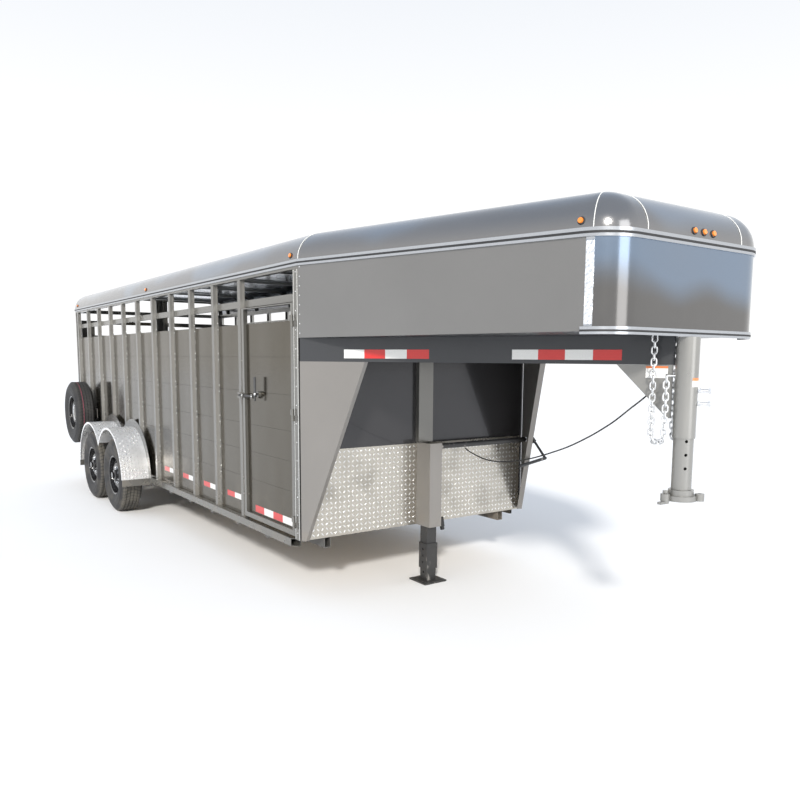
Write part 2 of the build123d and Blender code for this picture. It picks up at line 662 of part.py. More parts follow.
def crank_handle():
    """The folding arm of the crank on its pin, with its grip turned inwards."""
    elbow = (228.0, 1098.0, 884.0)
    arm = rod(FOLD_PIN, elbow, 10)
    ends = Pos(*FOLD_PIN) * Sphere(10) + Pos(*elbow) * Sphere(13)
    grip = rod(elbow, (229.0, 800.0, 838.0), 13)
    half = Vector(*FOLD_AXIS) * 15.5
    pin = rod(tuple(Vector(*FOLD_PIN) - half), tuple(Vector(*FOLD_PIN) + half), 4)
    return [arm + ends + grip + pin]


# ---------------------------------------------------------------- coupler
def coupler_sleeve():
    pipe = rod((COUPLER_X, 0, SLEEVE_BOTTOM), (COUPLER_X, 0, SLEEVE_TOP), SLEEVE_RADIUS, STEM_RADIUS + RUNNING)
    for z in (1540.0, 1474.0):
        pipe -= rod((COUPLER_X, 0, z), (COUPLER_X + 80, 46, z), 9.5)
    return [pipe]


def coupler_bolts():
    """Two set bolts with lock nuts in the front of the sleeve."""
    solids = []
    for z in (1540.0, 1474.0):
        direction = Vector(80, 46, 0).normalized()
        centre = Vector(COUPLER_X, 0, z)
        inner = centre + direction * (STEM_RADIUS + 1.6)
        outer = centre + direction * 108
        solids.append(rod(tuple(inner), tuple(outer), 8))
        nut = Plane(origin=tuple(centre + direction * (SLEEVE_RADIUS + 1)), z_dir=direction)
        solids.append(extrude(nut * (RegularPolygon(15, 6) - Circle(8.3)), 14))
        head = Plane(origin=tuple(outer + direction * 0.3), z_dir=direction)
        solids.append(extrude(head * RegularPolygon(15, 6), 11))
    return solids


def coupler_stem():
    """The sliding tube with its height holes."""
    pipe = rod((COUPLER_X, 0, HEAD_TOP), (COUPLER_X, 0, 1670), STEM_RADIUS, STEM_RADIUS - 8)
    for z in STEM_HOLES + (1142.0, 1352.0, 1422.0):
        pipe -= rod((COUPLER_X, 0, z), (COUPLER_X + 80, -64, z), 8)
    return [pipe]


def coupler_head():
    """A cast ball socket with a lug on each side."""
    x = COUPLER_X
    flange = Pos(x, 0, HEAD_BOTTOM + 14) * Cylinder(78, 28)
    neck_ring = Pos(x, 0, HEAD_BOTTOM + 42.5) * Cylinder(64, 30)
    lugs = [Pos(x + 92 * cos(radians(a)), 92 * sin(radians(a)), HEAD_BOTTOM + 19) * Cylinder(24, 38)
            for a in (-110, 40)]
    body = flange + neck_ring + lugs[0] + lugs[1]
    body -= Pos(x, 0, HEAD_BOTTOM + 20) * Cylinder(BALL_RADIUS, 42)
    for a in (-110, 40):
        body -= Pos(x + 92 * cos(radians(a)), 92 * sin(radians(a)), HEAD_BOTTOM + 19) * Cylinder(9, 60)
    return [body]


def latch_axis():
    a = radians(-110)
    return (COUPLER_X + 92 * cos(a), 92 * sin(a))


def coupler_latch():
    """A locking plate under the head that swings about the rear lug, with its pin and a tab."""
    px, py = latch_axis()
    pin = rod((px, py, HEAD_BOTTOM - 14), (px, py, HEAD_TOP - 15), 9 - RUNNING)
    plate = Pos(px, py, HEAD_BOTTOM - 7) * Cylinder(20, 13)
    arm = Pos(px + 4, py - 25, HEAD_BOTTOM - 7) * Box(22, 60, 13)
    knob = Pos(px, py, HEAD_TOP - 9) * Cylinder(14, 12)
    return [pin + plate + arm + knob]


# ---------------------------------------------------------------- chains, cable and cords
def chain_link(start, end, twist):
    """One oval link between two neighbouring joints of the chain."""
    along = (end - start).normalized()
    across = along.cross(Vector(0, 1, 0)).normalized()
    centre = (start + end) * 0.5
    plane = Plane(origin=centre, x_dir=across, z_dir=across.cross(along))
    path = (plane * SlotOverall(LINK_LENGTH, LINK_WIDTH, rotation=90)).face().outer_wire()
    path = path.rotate(Axis(tuple(centre), tuple(along)), twist)
    return sweep(Plane(origin=path @ 0, z_dir=path % 0) * Circle(LINK_BAR), path=path)


def chain_joints():
    """Points one link apart along the right chain: down from its eye, round a loop and up to its hook."""
    radius = (CHAIN_X[1] - CHAIN_X[0]) / 2
    middle = CHAIN_BOTTOM + radius
    down = CHAIN_TOP - middle
    arc = pi * radius
    length = down + arc + CHAIN_HOOK - middle
    joints = []
    for i in range(int(length / LINK_PITCH) + 1):
        s = i * LINK_PITCH
        if s < down:
            x, z = CHAIN_X[0], CHAIN_TOP - s
        elif s < down + arc:
            angle = (s - down) / radius
            x, z = CHAIN_X[0] + radius * (1 - cos(angle)), middle - radius * sin(angle)
        else:
            x, z = CHAIN_X[1], middle + s - down - arc
        joints.append(Vector(x, CHAIN_Y, z))
    return joints


def safety_chains():
    """A chain on each side, from a staple under the nose floor to a ring on a lug of the sleeve."""
    joints = chain_joints()
    joints = [joints[0] + Vector(0, 0, LINK_PITCH)] + joints
    links = [chain_link(a, b, 45 if i % 2 else -45) for i, (a, b) in enumerate(zip(joints, joints[1:]))]
    links[0] -= block((2000, 2300), (-200, 0), (NOSE_BOTTOM - GAP, NOSE_BOTTOM + 40))
    reach = Vector(COUPLER_X, 0, joints[-1].Z) - joints[-1]
    lug = rod(tuple(joints[-1] + reach * 0.02), tuple(joints[-1] + reach * 0.42), 5)
    return both_sides(*links, lug)


def cord(points, radius):
    """A round cord along a hand-set route, with large arcs at its points."""
    points = [Vector(*p) for p in points]
    radii = []
    for a, b, c in zip(points, points[1:], points[2:]):
        run = min((b - a).length, (c - b).length)
        turn = radians((b - a).get_angle(c - b))
        radii.append(0.45 * run / tan(turn / 2))
    path = FilletPolyline(*points, radius=radii)
    section = Plane(origin=points[0], z_dir=points[1] - points[0]) * Circle(radius)
    solid = sweep(section, path=path)
    print("cord radii", [round(r) for r in radii], "volume ratio",
          round(solid.volume / (3.14159 * radius ** 2 * path.length), 3))
    return solid


CABLE_ROUTE = [
    (2040, -32, 1514), (1998, -24, 1485), (1956, -16, 1458), (1913, -8, 1432), (1869, 1, 1403), (1826, 9, 1375),
    (1782, 17, 1347), (1724, 28, 1315), (1666, 39, 1285), (1610, 50, 1257), (1553, 61, 1231), (1485, 74, 1201),
    (1416, 87, 1172), (1347, 100, 1146), (1279, 113, 1123), (1211, 126, 1101), (1142, 139, 1079), (1068, 153, 1057),
    (993, 167, 1036), (918, 182, 1017), (837, 198, 999), (755, 214, 984), (673, 229, 971), (595, 244, 961),
    (517, 259, 955), (438, 274, 953), (362, 288, 957), (287, 302, 966), (221, 315, 976), (155, 328, 988),
    (106, 338, 1004)]


def wiring_cable():
    return [cord(CABLE_ROUTE, CABLE_RADIUS)]


CORD_ROUTE = [(118, 96, 1012), (116, 91, 985), (112, 86, 950), (107, 83, 905), (103, 81, 850), (101, 80, 790),
              (100, 81, 730), (100, 84, 670), (101, 89, 610), (102, 95, 560), (102, 102, 515), (102, 108, 481)]


def connector_cord():
    return [cord(CORD_ROUTE, 4.0)]


def connector_plug():
    """A round trailer plug on the end of the cord."""
    end = Vector(*CORD_ROUTE[-1])
    direction = (end - Vector(*CORD_ROUTE[-2])).normalized()
    body = rod(tuple(end + direction * 0.2), tuple(end + direction * 70), 20)
    grip = rod(tuple(end + direction * 70.2), tuple(end + direction * 96), 16)
    return [body, grip]


# ---------------------------------------------------------------- doors and gates
def hinge_barrels(axis_x, axis_y, levels, own):
    """Alternate barrels on one pin line; the fixed ones carry the pin."""
    solids = []
    for z in levels:
        if own:
            solids.append(rod((axis_x, axis_y, z), (axis_x, axis_y, z + 39), HINGE_RADIUS, 5 + RUNNING))
        else:
            low = rod((axis_x, axis_y, z - 40), (axis_x, axis_y, z - 0.3), HINGE_RADIUS)
            pin = rod((axis_x, axis_y, z - 0.3), (axis_x, axis_y, z + 45), 5)
            solids.append(low + pin)
    return solids


DOOR_HINGE_LEVELS = (552.0, 1300.0, 1940.0)
GATE_HINGE_LEVELS = (600.0, 1350.0, 2100.0)
CENTRE_HINGE_LEVELS = (650.0, 1250.0, 1900.0)


def hinge_pins():
    """The fixed halves of every door and gate hinge, with their leaves and pins."""
    x, y = DOOR_HINGE
    solids = hinge_barrels(x, y, DOOR_HINGE_LEVELS, False)
    for z in DOOR_HINGE_LEVELS:
        leaf_plate = block((x + 2, x + 45), (-1050, -1046), (z - 40, z - 0.3))
        web = block((x - 4, x + 12), (-1054, -1046), (z - 40, z - 0.3))
        solids[DOOR_HINGE_LEVELS.index(z)] += leaf_plate + web
    gx, gy = GATE_HINGE
    gate_set = hinge_barrels(gx, gy, GATE_HINGE_LEVELS, False)
    for i, z in enumerate(GATE_HINGE_LEVELS):
        gate_set[i] += block((gx - 2, -6604.5), (gy + 6, gy + 14), (z - 40, z - 0.3))
        gate_set[i] += block((-6609, -6604.5), (gy + 6, gy + 50), (z - 40, z - 0.3))
    centre = hinge_barrels(CENTRE_GATE_X, CENTRE_GATE_HINGE_Y + 20, CENTRE_HINGE_LEVELS, False)
    for i, z in enumerate(CENTRE_HINGE_LEVELS):
        side = (CENTRE_GATE_HINGE_Y + 24, 1006.5)
        centre[i] += block((CENTRE_GATE_X - 4, CENTRE_GATE_X + 4), side, (z - 40, z - 0.3))
    return solids + gate_set + centre


def escape_door():
    """Tube frame, sheets set back inside it and the hinge barrels."""
    x0, x1, z0, z1 = DOOR
    y = right(1011, 1044)
    tube_width = 38.0
    stiles = [tube((x0, x0 + tube_width), y, (z0, z1), "Z"), tube((x1 - tube_width, x1), y, (z0, z1), "Z")]
    inside = (x0 + tube_width + 0.2, x1 - tube_width - 0.2)
    rails = [tube(inside, y, (z0, z0 + tube_width), "X"), block(inside, right(1014, 1030), (1945.5, 1953.5)),
             block(inside, y, (z1 - 8, z1))]
    sheets = []
    levels = (z0 + tube_width + 1,) + PANEL_SEAMS[1:]
    for low, high in zip(levels, levels[1:]):
        sheets.append(block(inside, right(1018, 1021), (low + 0.6, high - 0.6)))
    barrels = hinge_barrels(*DOOR_HINGE, DOOR_HINGE_LEVELS, True)
    for i, z in enumerate(DOOR_HINGE_LEVELS):
        arm = block((x1 - 30, DOOR_HINGE[0]), (-1056, -1049), (z, z + 39))
        pad = block((x1 - 30, x1 - 2), (-1049, -1044.2), (z, z + 39))
        bore = rod((*DOOR_HINGE, z - 1), (*DOOR_HINGE, z + 50), 5 + RUNNING)
        barrels[i] = barrels[i] + arm + pad - bore
    guides = []
    for x in (x0 + 12, x0 + 190):
        guide = block((x, x + 24), right(1044.5, 1064), (DOOR_LATCH_Z - 16, DOOR_LATCH_Z + 16))
        guides.append(guide - block((x - 1, x + 30), right(1046.5, 1059.5), (DOOR_LATCH_Z - 9, DOOR_LATCH_Z + 9)))
    x, z = DOOR_SPINDLE
    boss = rod((x, -1021.5, z), (x, -1044, z), 22)
    return stiles + rails + sheets + barrels + guides + [boss]


def door_latch_bar():
    """The flat bar that crosses onto the door post."""
    x0 = DOOR[0]
    return [block((x0 - 52, x0 + 235), right(1048, 1058), (DOOR_LATCH_Z - 8, DOOR_LATCH_Z + 8))]


def door_latch_handle():
    """A plain paddle lever on a short spindle."""
    x, z = DOOR_SPINDLE
    spindle = rod((x, -1044.5, z), (x, -1066, z), 9)
    paddle = block((x - 17, x + 17), right(1060, 1066), (z - 8, z + 128))
    tail = block((x - 9, x + 9), right(1060, 1066), (z - 50, z - 8))
    return [spindle + paddle + tail]


def door_keeper():
    """A back plate and two ledges on the door post; the bar lies between the ledges."""
    post_edge = (DOOR_POST_X - 24, DOOR_POST_X + 22)
    back = block(post_edge, right(1046, 1047.5), (DOOR_LATCH_Z - 70, DOOR_LATCH_Z + 70))
    low = block(post_edge, right(1048, 1062), (DOOR_LATCH_Z - 22, DOOR_LATCH_Z - 9))
    high = block(post_edge, right(1048, 1062), (DOOR_LATCH_Z + 9, DOOR_LATCH_Z + 22))
    return [back, low, high]


def rear_gate():
    """The full-width gate: frame, slats with air gaps and a lower sheet."""
    x = GATE
    half = GATE_HALF
    z0, z1 = 480.0, 2185.0
    stiles = [tube(x, (-half, -half + 45), (z0, z1), "Z"), tube(x, (half - 45, half), (z0, z1), "Z")]
    inside = (-half + 45.5, half - 45.5)
    rails = [tube(x, inside, (z, z + 45), "Y") for z in (z0, 1180, 1720, z1 - 45)]
    window = (1765.5, z1 - 45.5)
    stiles.append(tube(x, (-half + 123, -half + 168), window, "Z"))
    slats = [tube((x[0] + 8, x[1]), (-half + 168.5, half - 45.5), (z, z + 60), "Y") for z in (1820, 1925)]
    sheets = [block((x[1] - 6, x[1] - 3), inside, zs) for zs in ((526, 1179.5), (1225.5, 1719.5))]
    sheets.append(block((x[1] - 6, x[1] - 3), (-half + 45.5, -half + 122.5), window))
    gx, gy = GATE_HINGE
    barrels = hinge_barrels(gx, gy, GATE_HINGE_LEVELS, True)
    for i, z in enumerate(GATE_HINGE_LEVELS):
        arm = block((gx - 4, gx + 4), (half + 0.2, gy), (z, z + 39))
        barrels[i] = barrels[i] + arm - rod((gx, gy, z - 1), (gx, gy, z + 50), 5 + RUNNING)
    guides = []
    for y in (-half + 60, -half + 250):
        guide = block((x[0] - 24, x[0] - 0.5), (y, y + 24), (GATE_LATCH_Z - 18, GATE_LATCH_Z + 18))
        guides.append(guide - block((x[0] - 19, x[0] - 5), (y - 1, y + 30), (GATE_LATCH_Z - 11, GATE_LATCH_Z + 11)))
    backing = block((x[0], x[1] - 6.5), (-half + 50, -half + 290), (1226, 1280))
    return stiles + rails + slats + sheets + barrels + guides + [backing]


def rear_gate_latch():
    """The slide bar with its grip."""
    bar = block((GATE[0] - 17, GATE[0] - 7), (-1035, -GATE_HALF + 330), (GATE_LATCH_Z - 10, GATE_LATCH_Z + 10))
    grip_y = (-GATE_HALF + 290, -GATE_HALF + 306)
    grip = block((GATE[0] - 60, GATE[0] - 17), grip_y, (GATE_LATCH_Z - 8, GATE_LATCH_Z + 8))
    return [bar + grip]


def centre_gate():
    """The swinging partition: frame tubes, sheets and a tall double stile on its free end."""
    x = (CENTRE_GATE_X - 19, CENTRE_GATE_X + 19)
    half = CENTRE_GATE_HINGE_Y
    z0, z1, tall = 500.0, 2040.0, 2260.0
    stiles = [tube(x, (half - 38, half), (z0, z1), "Z")]
    stiles += [tube(x, (y, y + 38), (z0, tall), "Z") for y in (-half, -half + 76)]
    inside = (-half + 114.5, half - 38.5)
    rails = [tube(x, inside, (z, z + 38), "Y") for z in (z0, 1180, 1640, 1820, z1 - 38)]
    sheet = (CENTRE_GATE_X - 1.5, CENTRE_GATE_X + 1.5)
    sheets = [block(sheet, inside, zs) for zs in ((538.5, 1179.5), (1218.5, 1639.5))]
    sheets.append(block(sheet, (-half + 38.5, -half + 75.5), (z0, tall)))
    hx, hy = CENTRE_GATE_X, CENTRE_GATE_HINGE_Y + 20
    barrels = hinge_barrels(hx, hy, CENTRE_HINGE_LEVELS, True)
    for i, z in enumerate(CENTRE_HINGE_LEVELS):
        arm = block((hx - 4, hx + 4), (half + 0.2, hy), (z, z + 39))
        barrels[i] = barrels[i] + arm - rod((hx, hy, z - 1), (hx, hy, z + 50), 5 + RUNNING)
    return stiles + rails + sheets + barrels


# ---------------------------------------------------------------- all nodes
def wheel_nodes():
    nodes = {}
    one_tyre, one_rim = [tyre()], rim()
    for name, x, side in (("front_right", AXLES_X[0], -1), ("rear_right", AXLES_X[1], -1),
                          ("front_left", AXLES_X[0], 1), ("rear_left", AXLES_X[1], 1)):
        nodes[f"tyre_{name}"] = placed_wheel(one_tyre, x, side)
        nodes[f"rim_{name}"] = placed_wheel(one_rim, x, side)
    return nodes


def main():
    nodes = {
        "chassis_rails": chassis_rails(), "cross_members": cross_members(), "rub_rails": rub_rails(),
        "floor_planks": floor_planks(), "axles": axles(), "suspension": suspension(),
        "fenders": fenders(), "fender_plates": fender_plates(),
        "wall_posts": wall_posts(), "side_panels": side_panels(),
        "wall_rails": wall_rails(), "rear_frame": rear_frame(), "front_posts": front_posts(),
        "front_wall": front_wall(), "kick_plate": kick_plate(), "wedge_panels": wedge_panels(),
        "gooseneck_beams": gooseneck_beams(), "neck_gussets": neck_gussets(),
        "nose_cross_members": nose_cross_members(), "nose_floor": nose_floor(),
        "nose_side_panels": nose_side_panels(), "nose_front_skin": nose_front_skin(),
        "roof_main": roof_main(), "roof_nose": roof_nose(), "roof_bows": roof_bows(),
        "edge_trim": edge_trim(), "trim_insert": trim_insert(), "marker_lamps": marker_lamps(),
        "tail_lamps": tail_lamps(), "spare_tyre": spare_tyre(), "spare_rim": spare_rim(),
        "spare_bracket": spare_bracket(), "jack_casing": jack_casing(), "jack_cross_tube": jack_cross_tube(),
        "jack_leg": jack_leg(), "crank_handle": crank_handle(),
        "coupler_sleeve": coupler_sleeve(), "coupler_bolts": coupler_bolts(), "coupler_stem": coupler_stem(),
        "coupler_head": coupler_head(), "coupler_latch": coupler_latch(),
        "safety_chains": safety_chains(), "wiring_cable": wiring_cable(),
        "connector_cord": connector_cord(), "connector_plug": connector_plug(), "hinge_pins": hinge_pins(),
        "escape_door": escape_door(), "door_latch_bar": door_latch_bar(),
        "door_latch_handle": door_latch_handle(), "rear_gate": rear_gate(), "rear_gate_latch": rear_gate_latch(),
        "centre_gate": centre_gate(),
    }
    nodes.update(wheel_nodes())
    os.makedirs("parts", exist_ok=True)
    for name, solids in nodes.items():
        pieces = [piece for solid in solids for piece in solid.solids()]
        shape = Compound(children=[Pos(-JACK_X, 0, 0) * piece for piece in pieces])
        shape.label = name
        export_step(shape, f"parts/{name}.step")


main()
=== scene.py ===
"""Looks of a gooseneck livestock trailer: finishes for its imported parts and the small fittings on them."""
import bpy
from math import cos, pi, radians, sin, tan
from mathutils import Matrix, Vector


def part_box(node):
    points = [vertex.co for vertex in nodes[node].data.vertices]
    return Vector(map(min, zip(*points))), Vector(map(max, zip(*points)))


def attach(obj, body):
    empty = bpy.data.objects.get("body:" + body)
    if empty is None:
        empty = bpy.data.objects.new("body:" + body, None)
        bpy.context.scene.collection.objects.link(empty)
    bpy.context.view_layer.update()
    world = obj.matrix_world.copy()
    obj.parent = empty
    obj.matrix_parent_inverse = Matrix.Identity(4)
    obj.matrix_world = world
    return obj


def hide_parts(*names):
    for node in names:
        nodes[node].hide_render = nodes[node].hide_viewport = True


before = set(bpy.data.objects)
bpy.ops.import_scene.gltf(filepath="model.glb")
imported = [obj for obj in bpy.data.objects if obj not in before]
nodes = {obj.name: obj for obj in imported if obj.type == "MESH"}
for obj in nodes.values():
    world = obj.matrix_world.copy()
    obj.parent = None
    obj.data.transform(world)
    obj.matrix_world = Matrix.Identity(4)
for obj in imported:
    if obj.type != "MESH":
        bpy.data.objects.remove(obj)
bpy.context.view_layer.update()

# ---------------------------------------------------------------- driving dimensions, in metres
JACK_X = 0.086                # the jack foot, which is the origin, stands this far ahead of the front wall
HALF_WIDTH = 1.0455
EAVE = 2.328
ROOF_RADIUS = 0.2
NOSE_BOTTOM = 1.825
NOSE_FRONT = 2.263
NOSE_TAPER = radians(10.36)
NOSE_DROP = radians(1.11)
CORNER_RADIUS = 0.205
NECK_ANGLE = radians(25.7)
COUPLER_X = 2.242
SLEEVE_RADIUS = 0.05715
WALL_BOTTOM = 0.432
POST_PITCH = 0.5505
POST_COUNT = 11
DOOR_POST_X = -0.985
POST_WIDTH = 0.05
FLANGE_WIDTH = 0.018          # of the strips along the posts' own flanges, which are 14 mm wide
FLANGE_THICKNESS = 0.0016
FLANGE_BOTTOM = 0.520
FLANGE_HEIGHT = 1.440
NOSE_RIVETS = 8
NOSE_RIVET_X = 0.016
NOSE_RIVET_PITCH = 0.062
CORNER_RIVETS = 15
CORNER_RIVET_X = -0.037
CORNER_RIVET_PITCH = 0.127
RIVET_OFFSET = 0.026          # from a sheet joint to the rivets above and below it
SCREW_OFFSET = 0.009          # from a flange's edge to the screws beside it
PANEL_SEAMS = (0.753, 0.968, 1.18, 1.434, 1.697, 1.945)
PANEL_OUT = 1.010             # outer face of the wall sheets
DOOR_LATCH_EDGE = -0.944
AXLES_X = (-3.945, -4.905)
FENDER_RADIUS = 0.54
FENDER_CENTRE_Z = 0.375
FENDER_BACK = 0.058
FENDER_EDGES = (1.052, 1.320)
FENDER_BOTTOM = 0.405
TREAD_PITCH = 0.036
LAMP_LEAN = radians(13)       # how far up the roof's shoulder the clearance lamps sit
LATCH_SPINDLE = (-0.674, 1.419)
CAP_SEAM_TURN = radians(63)   # the side seam of a corner cap, round the corner from the front
CAP_SEAM_Y = 0.392            # its front seam
PROUD = 0.0003                # how far a stuck-on piece stands off what it is stuck to
HEAD_GAP = 0.00005            # the same for a rivet's or a screw's head
LUG_RADIUS = 0.0135
LUG_HEIGHT = 0.0018
VALVE_CIRCLE = 0.178          # from the axle to a wheel's valve
LAMP_XS = (-0.110, -3.360, -6.470)
NOSE_LAMP_X = 2.090
FRONT_LAMP_YS = (-0.025, 0.055, 0.135)

RED = (0.62, 0.012, 0.010, 1)
WHITE = (0.80, 0.80, 0.78, 1)


def at(x, y, z):
    """A point given from the front wall, the centre plane and the ground."""
    return Vector((x - JACK_X, y, z))


def neck(s, out, z):
    """A point s along the right neck line from the box corner and out beyond it."""
    x = s * cos(NECK_ANGLE) + out * sin(NECK_ANGLE)
    y = -HALF_WIDTH + s * sin(NECK_ANGLE) - out * cos(NECK_ANGLE)
    return at(x, y, z)


def tilted(x, y, z):
    """A point of the nose roof, which falls towards the front."""
    rise = z - EAVE
    ahead = x * cos(NOSE_DROP) + rise * sin(NOSE_DROP)
    return at(ahead, y, EAVE + rise * cos(NOSE_DROP) - x * sin(NOSE_DROP))


# ---------------------------------------------------------------- shader expressions
class Field:
    """A socket in a finish's nodes. Sums and products of fields add their Math nodes."""

    def __init__(self, finish, socket):
        self.finish = finish
        self.socket = socket

    def math(self, operation, *others):
        return self.finish.node("ShaderNodeMath", {"operation": operation}, [self, *others])

    def __add__(self, other):
        return self.math("ADD", other)

    def __sub__(self, other):
        return self.math("SUBTRACT", other)

    def __mul__(self, other):
        return self.math("MULTIPLY", other)

    def __rsub__(self, other):
        return self.finish.node("ShaderNodeMath", {"operation": "SUBTRACT"}, [other, self])

    __radd__ = __add__

    def output(self, name):
        return Field(self.finish, self.socket.node.outputs[name])


class Finish:
    """A material with one Principled shader."""

    def __init__(self, name, **constants):
        self.material = bpy.data.materials.new(name)
        self.material.use_nodes = True
        self.tree = self.material.node_tree
        self.shader = self.tree.nodes["Principled BSDF"]
        for key, value in constants.items():
            self.put(self.shader, key.replace("_", " "), value)
        self.place = self.node("ShaderNodeTexCoord").output("Object")
        axes = self.node("ShaderNodeSeparateXYZ", {}, [self.place])
        self.x, self.y, self.z = [axes.output(name) for name in "XYZ"]

    def put(self, node, key, value):
        if isinstance(value, Field):
            self.tree.links.new(value.socket, node.inputs[key])
        else:
            node.inputs[key].default_value = value

    def node(self, kind, settings=None, inputs=(), output=0):
        made = self.tree.nodes.new(kind)
        for key, value in (settings or {}).items():
            if key == "stops":
                for i, (position, colour) in enumerate(value):
                    stop = made.color_ramp.elements[i] if i < 2 else made.color_ramp.elements.new(position)
                    stop.position = position
                    stop.color = colour
            else:
                setattr(made, key, value)
        for key, value in inputs.items() if isinstance(inputs, dict) else enumerate(inputs):
            self.put(made, key, value)
        return Field(self, made.outputs[output])

    def noise(self, scale, detail=3.0, stretch=(1, 1, 1)):
        spot = self.node("ShaderNodeMapping", {}, {"Vector": self.place, "Scale": stretch})
        return self.node("ShaderNodeTexNoise", {}, {"Vector": spot, "Scale": scale, "Detail": detail})

    def cells(self, scale):
        return self.node("ShaderNodeTexVoronoi", {}, {"Vector": self.place, "Scale": scale})

    def ramp(self, value, low, high):
        """0 below low, 1 above high."""
        settings = {"interpolation_type": "SMOOTHSTEP"}
        return self.node("ShaderNodeMapRange", settings, [value, low, high, 0.0, 1.0])

    def mix(self, mask, first, second):
        return self.node("ShaderNodeMix", {"data_type": "RGBA"}, {0: mask, 6: first, 7: second}, 2)

    def bump(self, height, distance, strength=1.0):
        inputs = {"Height": height, "Distance": distance, "Strength": strength}
        return self.node("ShaderNodeBump", {}, inputs)

    def set(self, **links):
        for key, value in links.items():
            self.put(self.shader, key.replace("_", " "), value)
        return self.material


def shade(colour, factor):
    return tuple(min(1.0, c * factor) for c in colour[:3]) + (1.0,)


# ---------------------------------------------------------------- finishes
def metallic_paint(name, colour, metal=0.6, gloss=0.3, coat=0.4, dents=0.0, dust=0.35, low_reflection_tone=None,
                   band=(1.9, 2.1)):
    """Sprayed metallic paint: faint clouds, flake, orange peel, road dust low down and shallow dents.
    With a low reflection tone, the colour changes to it below a wavering height: a painted reflection of sky
    above and dark ground below."""
    paint = Finish(name, Metallic=metal, Coat_Weight=coat, Coat_Roughness=0.06)
    cloud = paint.noise(1.3, 4)
    flake = paint.noise(900, 1)
    if low_reflection_tone:
        # Painted reflection: the colour above the wavering line stands for reflected sky, the low tone for
        # reflected ground.
        level = paint.z + (paint.noise(1.1, 2) - 0.5) * 0.5
        colour = paint.mix(paint.ramp(level, *band), low_reflection_tone, colour)
        tone = paint.mix(cloud * 0.3 + flake * 0.15, colour, (0.30, 0.29, 0.28, 1))
    else:
        tone = paint.mix(cloud * 0.7 + flake * 0.3, shade(colour, 0.84), shade(colour, 1.16))
    low = (1 - paint.ramp(paint.z, 0.30, 0.95)) * paint.ramp(paint.noise(7, 5), 0.42, 0.75)
    dirt = low * dust
    rough = paint.noise(14, 3) * 0.12 + (gloss - 0.06) + dirt * 0.35
    height = paint.noise(2.2, 1, (1, 1, 0.55)) * dents + paint.noise(420, 1) * 0.00012
    return paint.set(
        Base_Color=paint.mix(dirt, tone, (0.30, 0.26, 0.21, 1)),
        Roughness=rough,
        Normal=paint.bump(height, 1.0))


def scuffed_black(name):
    """Black enamel worn to grey steel where it slides and knocks."""
    paint = Finish(name, Coat_Weight=0.15)
    scratches = paint.ramp(paint.noise(34, 6, (1, 1, 0.35)), 0.60, 0.70)
    wear = scratches * paint.ramp(paint.noise(9, 2), 0.42, 0.62)
    tone = paint.mix(paint.noise(5, 3), (0.012, 0.012, 0.013, 1), (0.035, 0.034, 0.033, 1))
    return paint.set(
        Base_Color=paint.mix(wear, tone, (0.42, 0.40, 0.37, 1)),
        Metallic=wear * 0.7,
        Roughness=0.36 + paint.noise(30, 3) * 0.2,
        Normal=paint.bump(paint.noise(160, 3) - wear * 0.4, 0.0004))


def bright_sheet(name, tone, metal=0.92):
    """Mill-finish aluminium with fine brushing and handling marks."""
    sheet = Finish(name, Metallic=metal)
    brushed = sheet.noise(60, 3, (0.05, 1, 1))
    marks = sheet.ramp(sheet.noise(5, 5), 0.45, 0.75)
    return sheet.set(
        Base_Color=sheet.mix(marks, tone, shade(tone, 0.78)),
        Roughness=0.20 + brushed * 0.14 + marks * 0.12,
        Normal=sheet.bump(brushed, 0.0002))


def trim_metal(name):
    """Bright trim; the upright strips at the nose corners are hammered."""
    metal = Finish(name, Metallic=0.95)
    upright = metal.ramp(metal.z, 1.852, 1.856) * (1 - metal.ramp(metal.z, 2.235, 2.245))
    hammered = metal.cells(55) * upright
    return metal.set(
        Base_Color=metal.mix(upright, (0.50, 0.52, 0.55, 1), (0.86, 0.88, 0.90, 1)),
        Roughness=0.16 + metal.noise(40, 3) * 0.15 + upright * 0.06,
        Normal=metal.bump(hammered, 0.006))


def rubber(name, tone=(0.016, 0.016, 0.017, 1)):
    soft = Finish(name)
    return soft.set(
        Base_Color=soft.mix(soft.noise(22, 4), tone, shade(tone, 1.9)),
        Roughness=0.55 + soft.noise(70, 2) * 0.2,
        Normal=soft.bump(soft.noise(300, 2), 0.0003))


def tyre_rubber(name, centre, stripe=0.0, dusty=(0.130, 0.120, 0.100, 1)):
    """Tread blocks, shoulder sipes, sidewall rings and dust, about the wheel's own axle."""
    soft = Finish(name)
    x = soft.x - centre.x
    z = soft.z - centre.z
    across = (soft.y - centre.y).math("ABSOLUTE")
    radius = (x * x + z * z).math("SQRT")
    turn = z.math("ARCTAN2", x)
    sipes = (turn * 62 + across * 55).math("SINE").math("GREATER_THAN", 0.80)
    tread = soft.ramp(radius, 0.376, 0.384)
    shoulder = (turn * 46).math("SINE").math("GREATER_THAN", 0.35)
    on_shoulder = soft.ramp(across, 0.070, 0.074) * soft.ramp(radius, 0.352, 0.358)
    rings = (radius * 520).math("SINE") * (1 - soft.ramp(radius, 0.33, 0.345)) * 0.25
    height = rings - sipes * tread * 0.9 - shoulder * on_shoulder * 0.9
    dust = soft.ramp(soft.noise(9, 5), 0.40, 0.75) * 0.4 + tread * (1 - sipes) * 0.5
    tone = soft.mix(dust, (0.020, 0.020, 0.022, 1), dusty)
    if stripe:
        side = soft.y - centre.y
        line = (side - stripe).math("ABSOLUTE").math("LESS_THAN", 0.0024) * tread
        tone = soft.mix(line, tone, (0.32, 0.05, 0.09, 1))
    return soft.set(Base_Color=tone, Roughness=0.62 + dust * 0.2, Normal=soft.bump(height, 0.003))


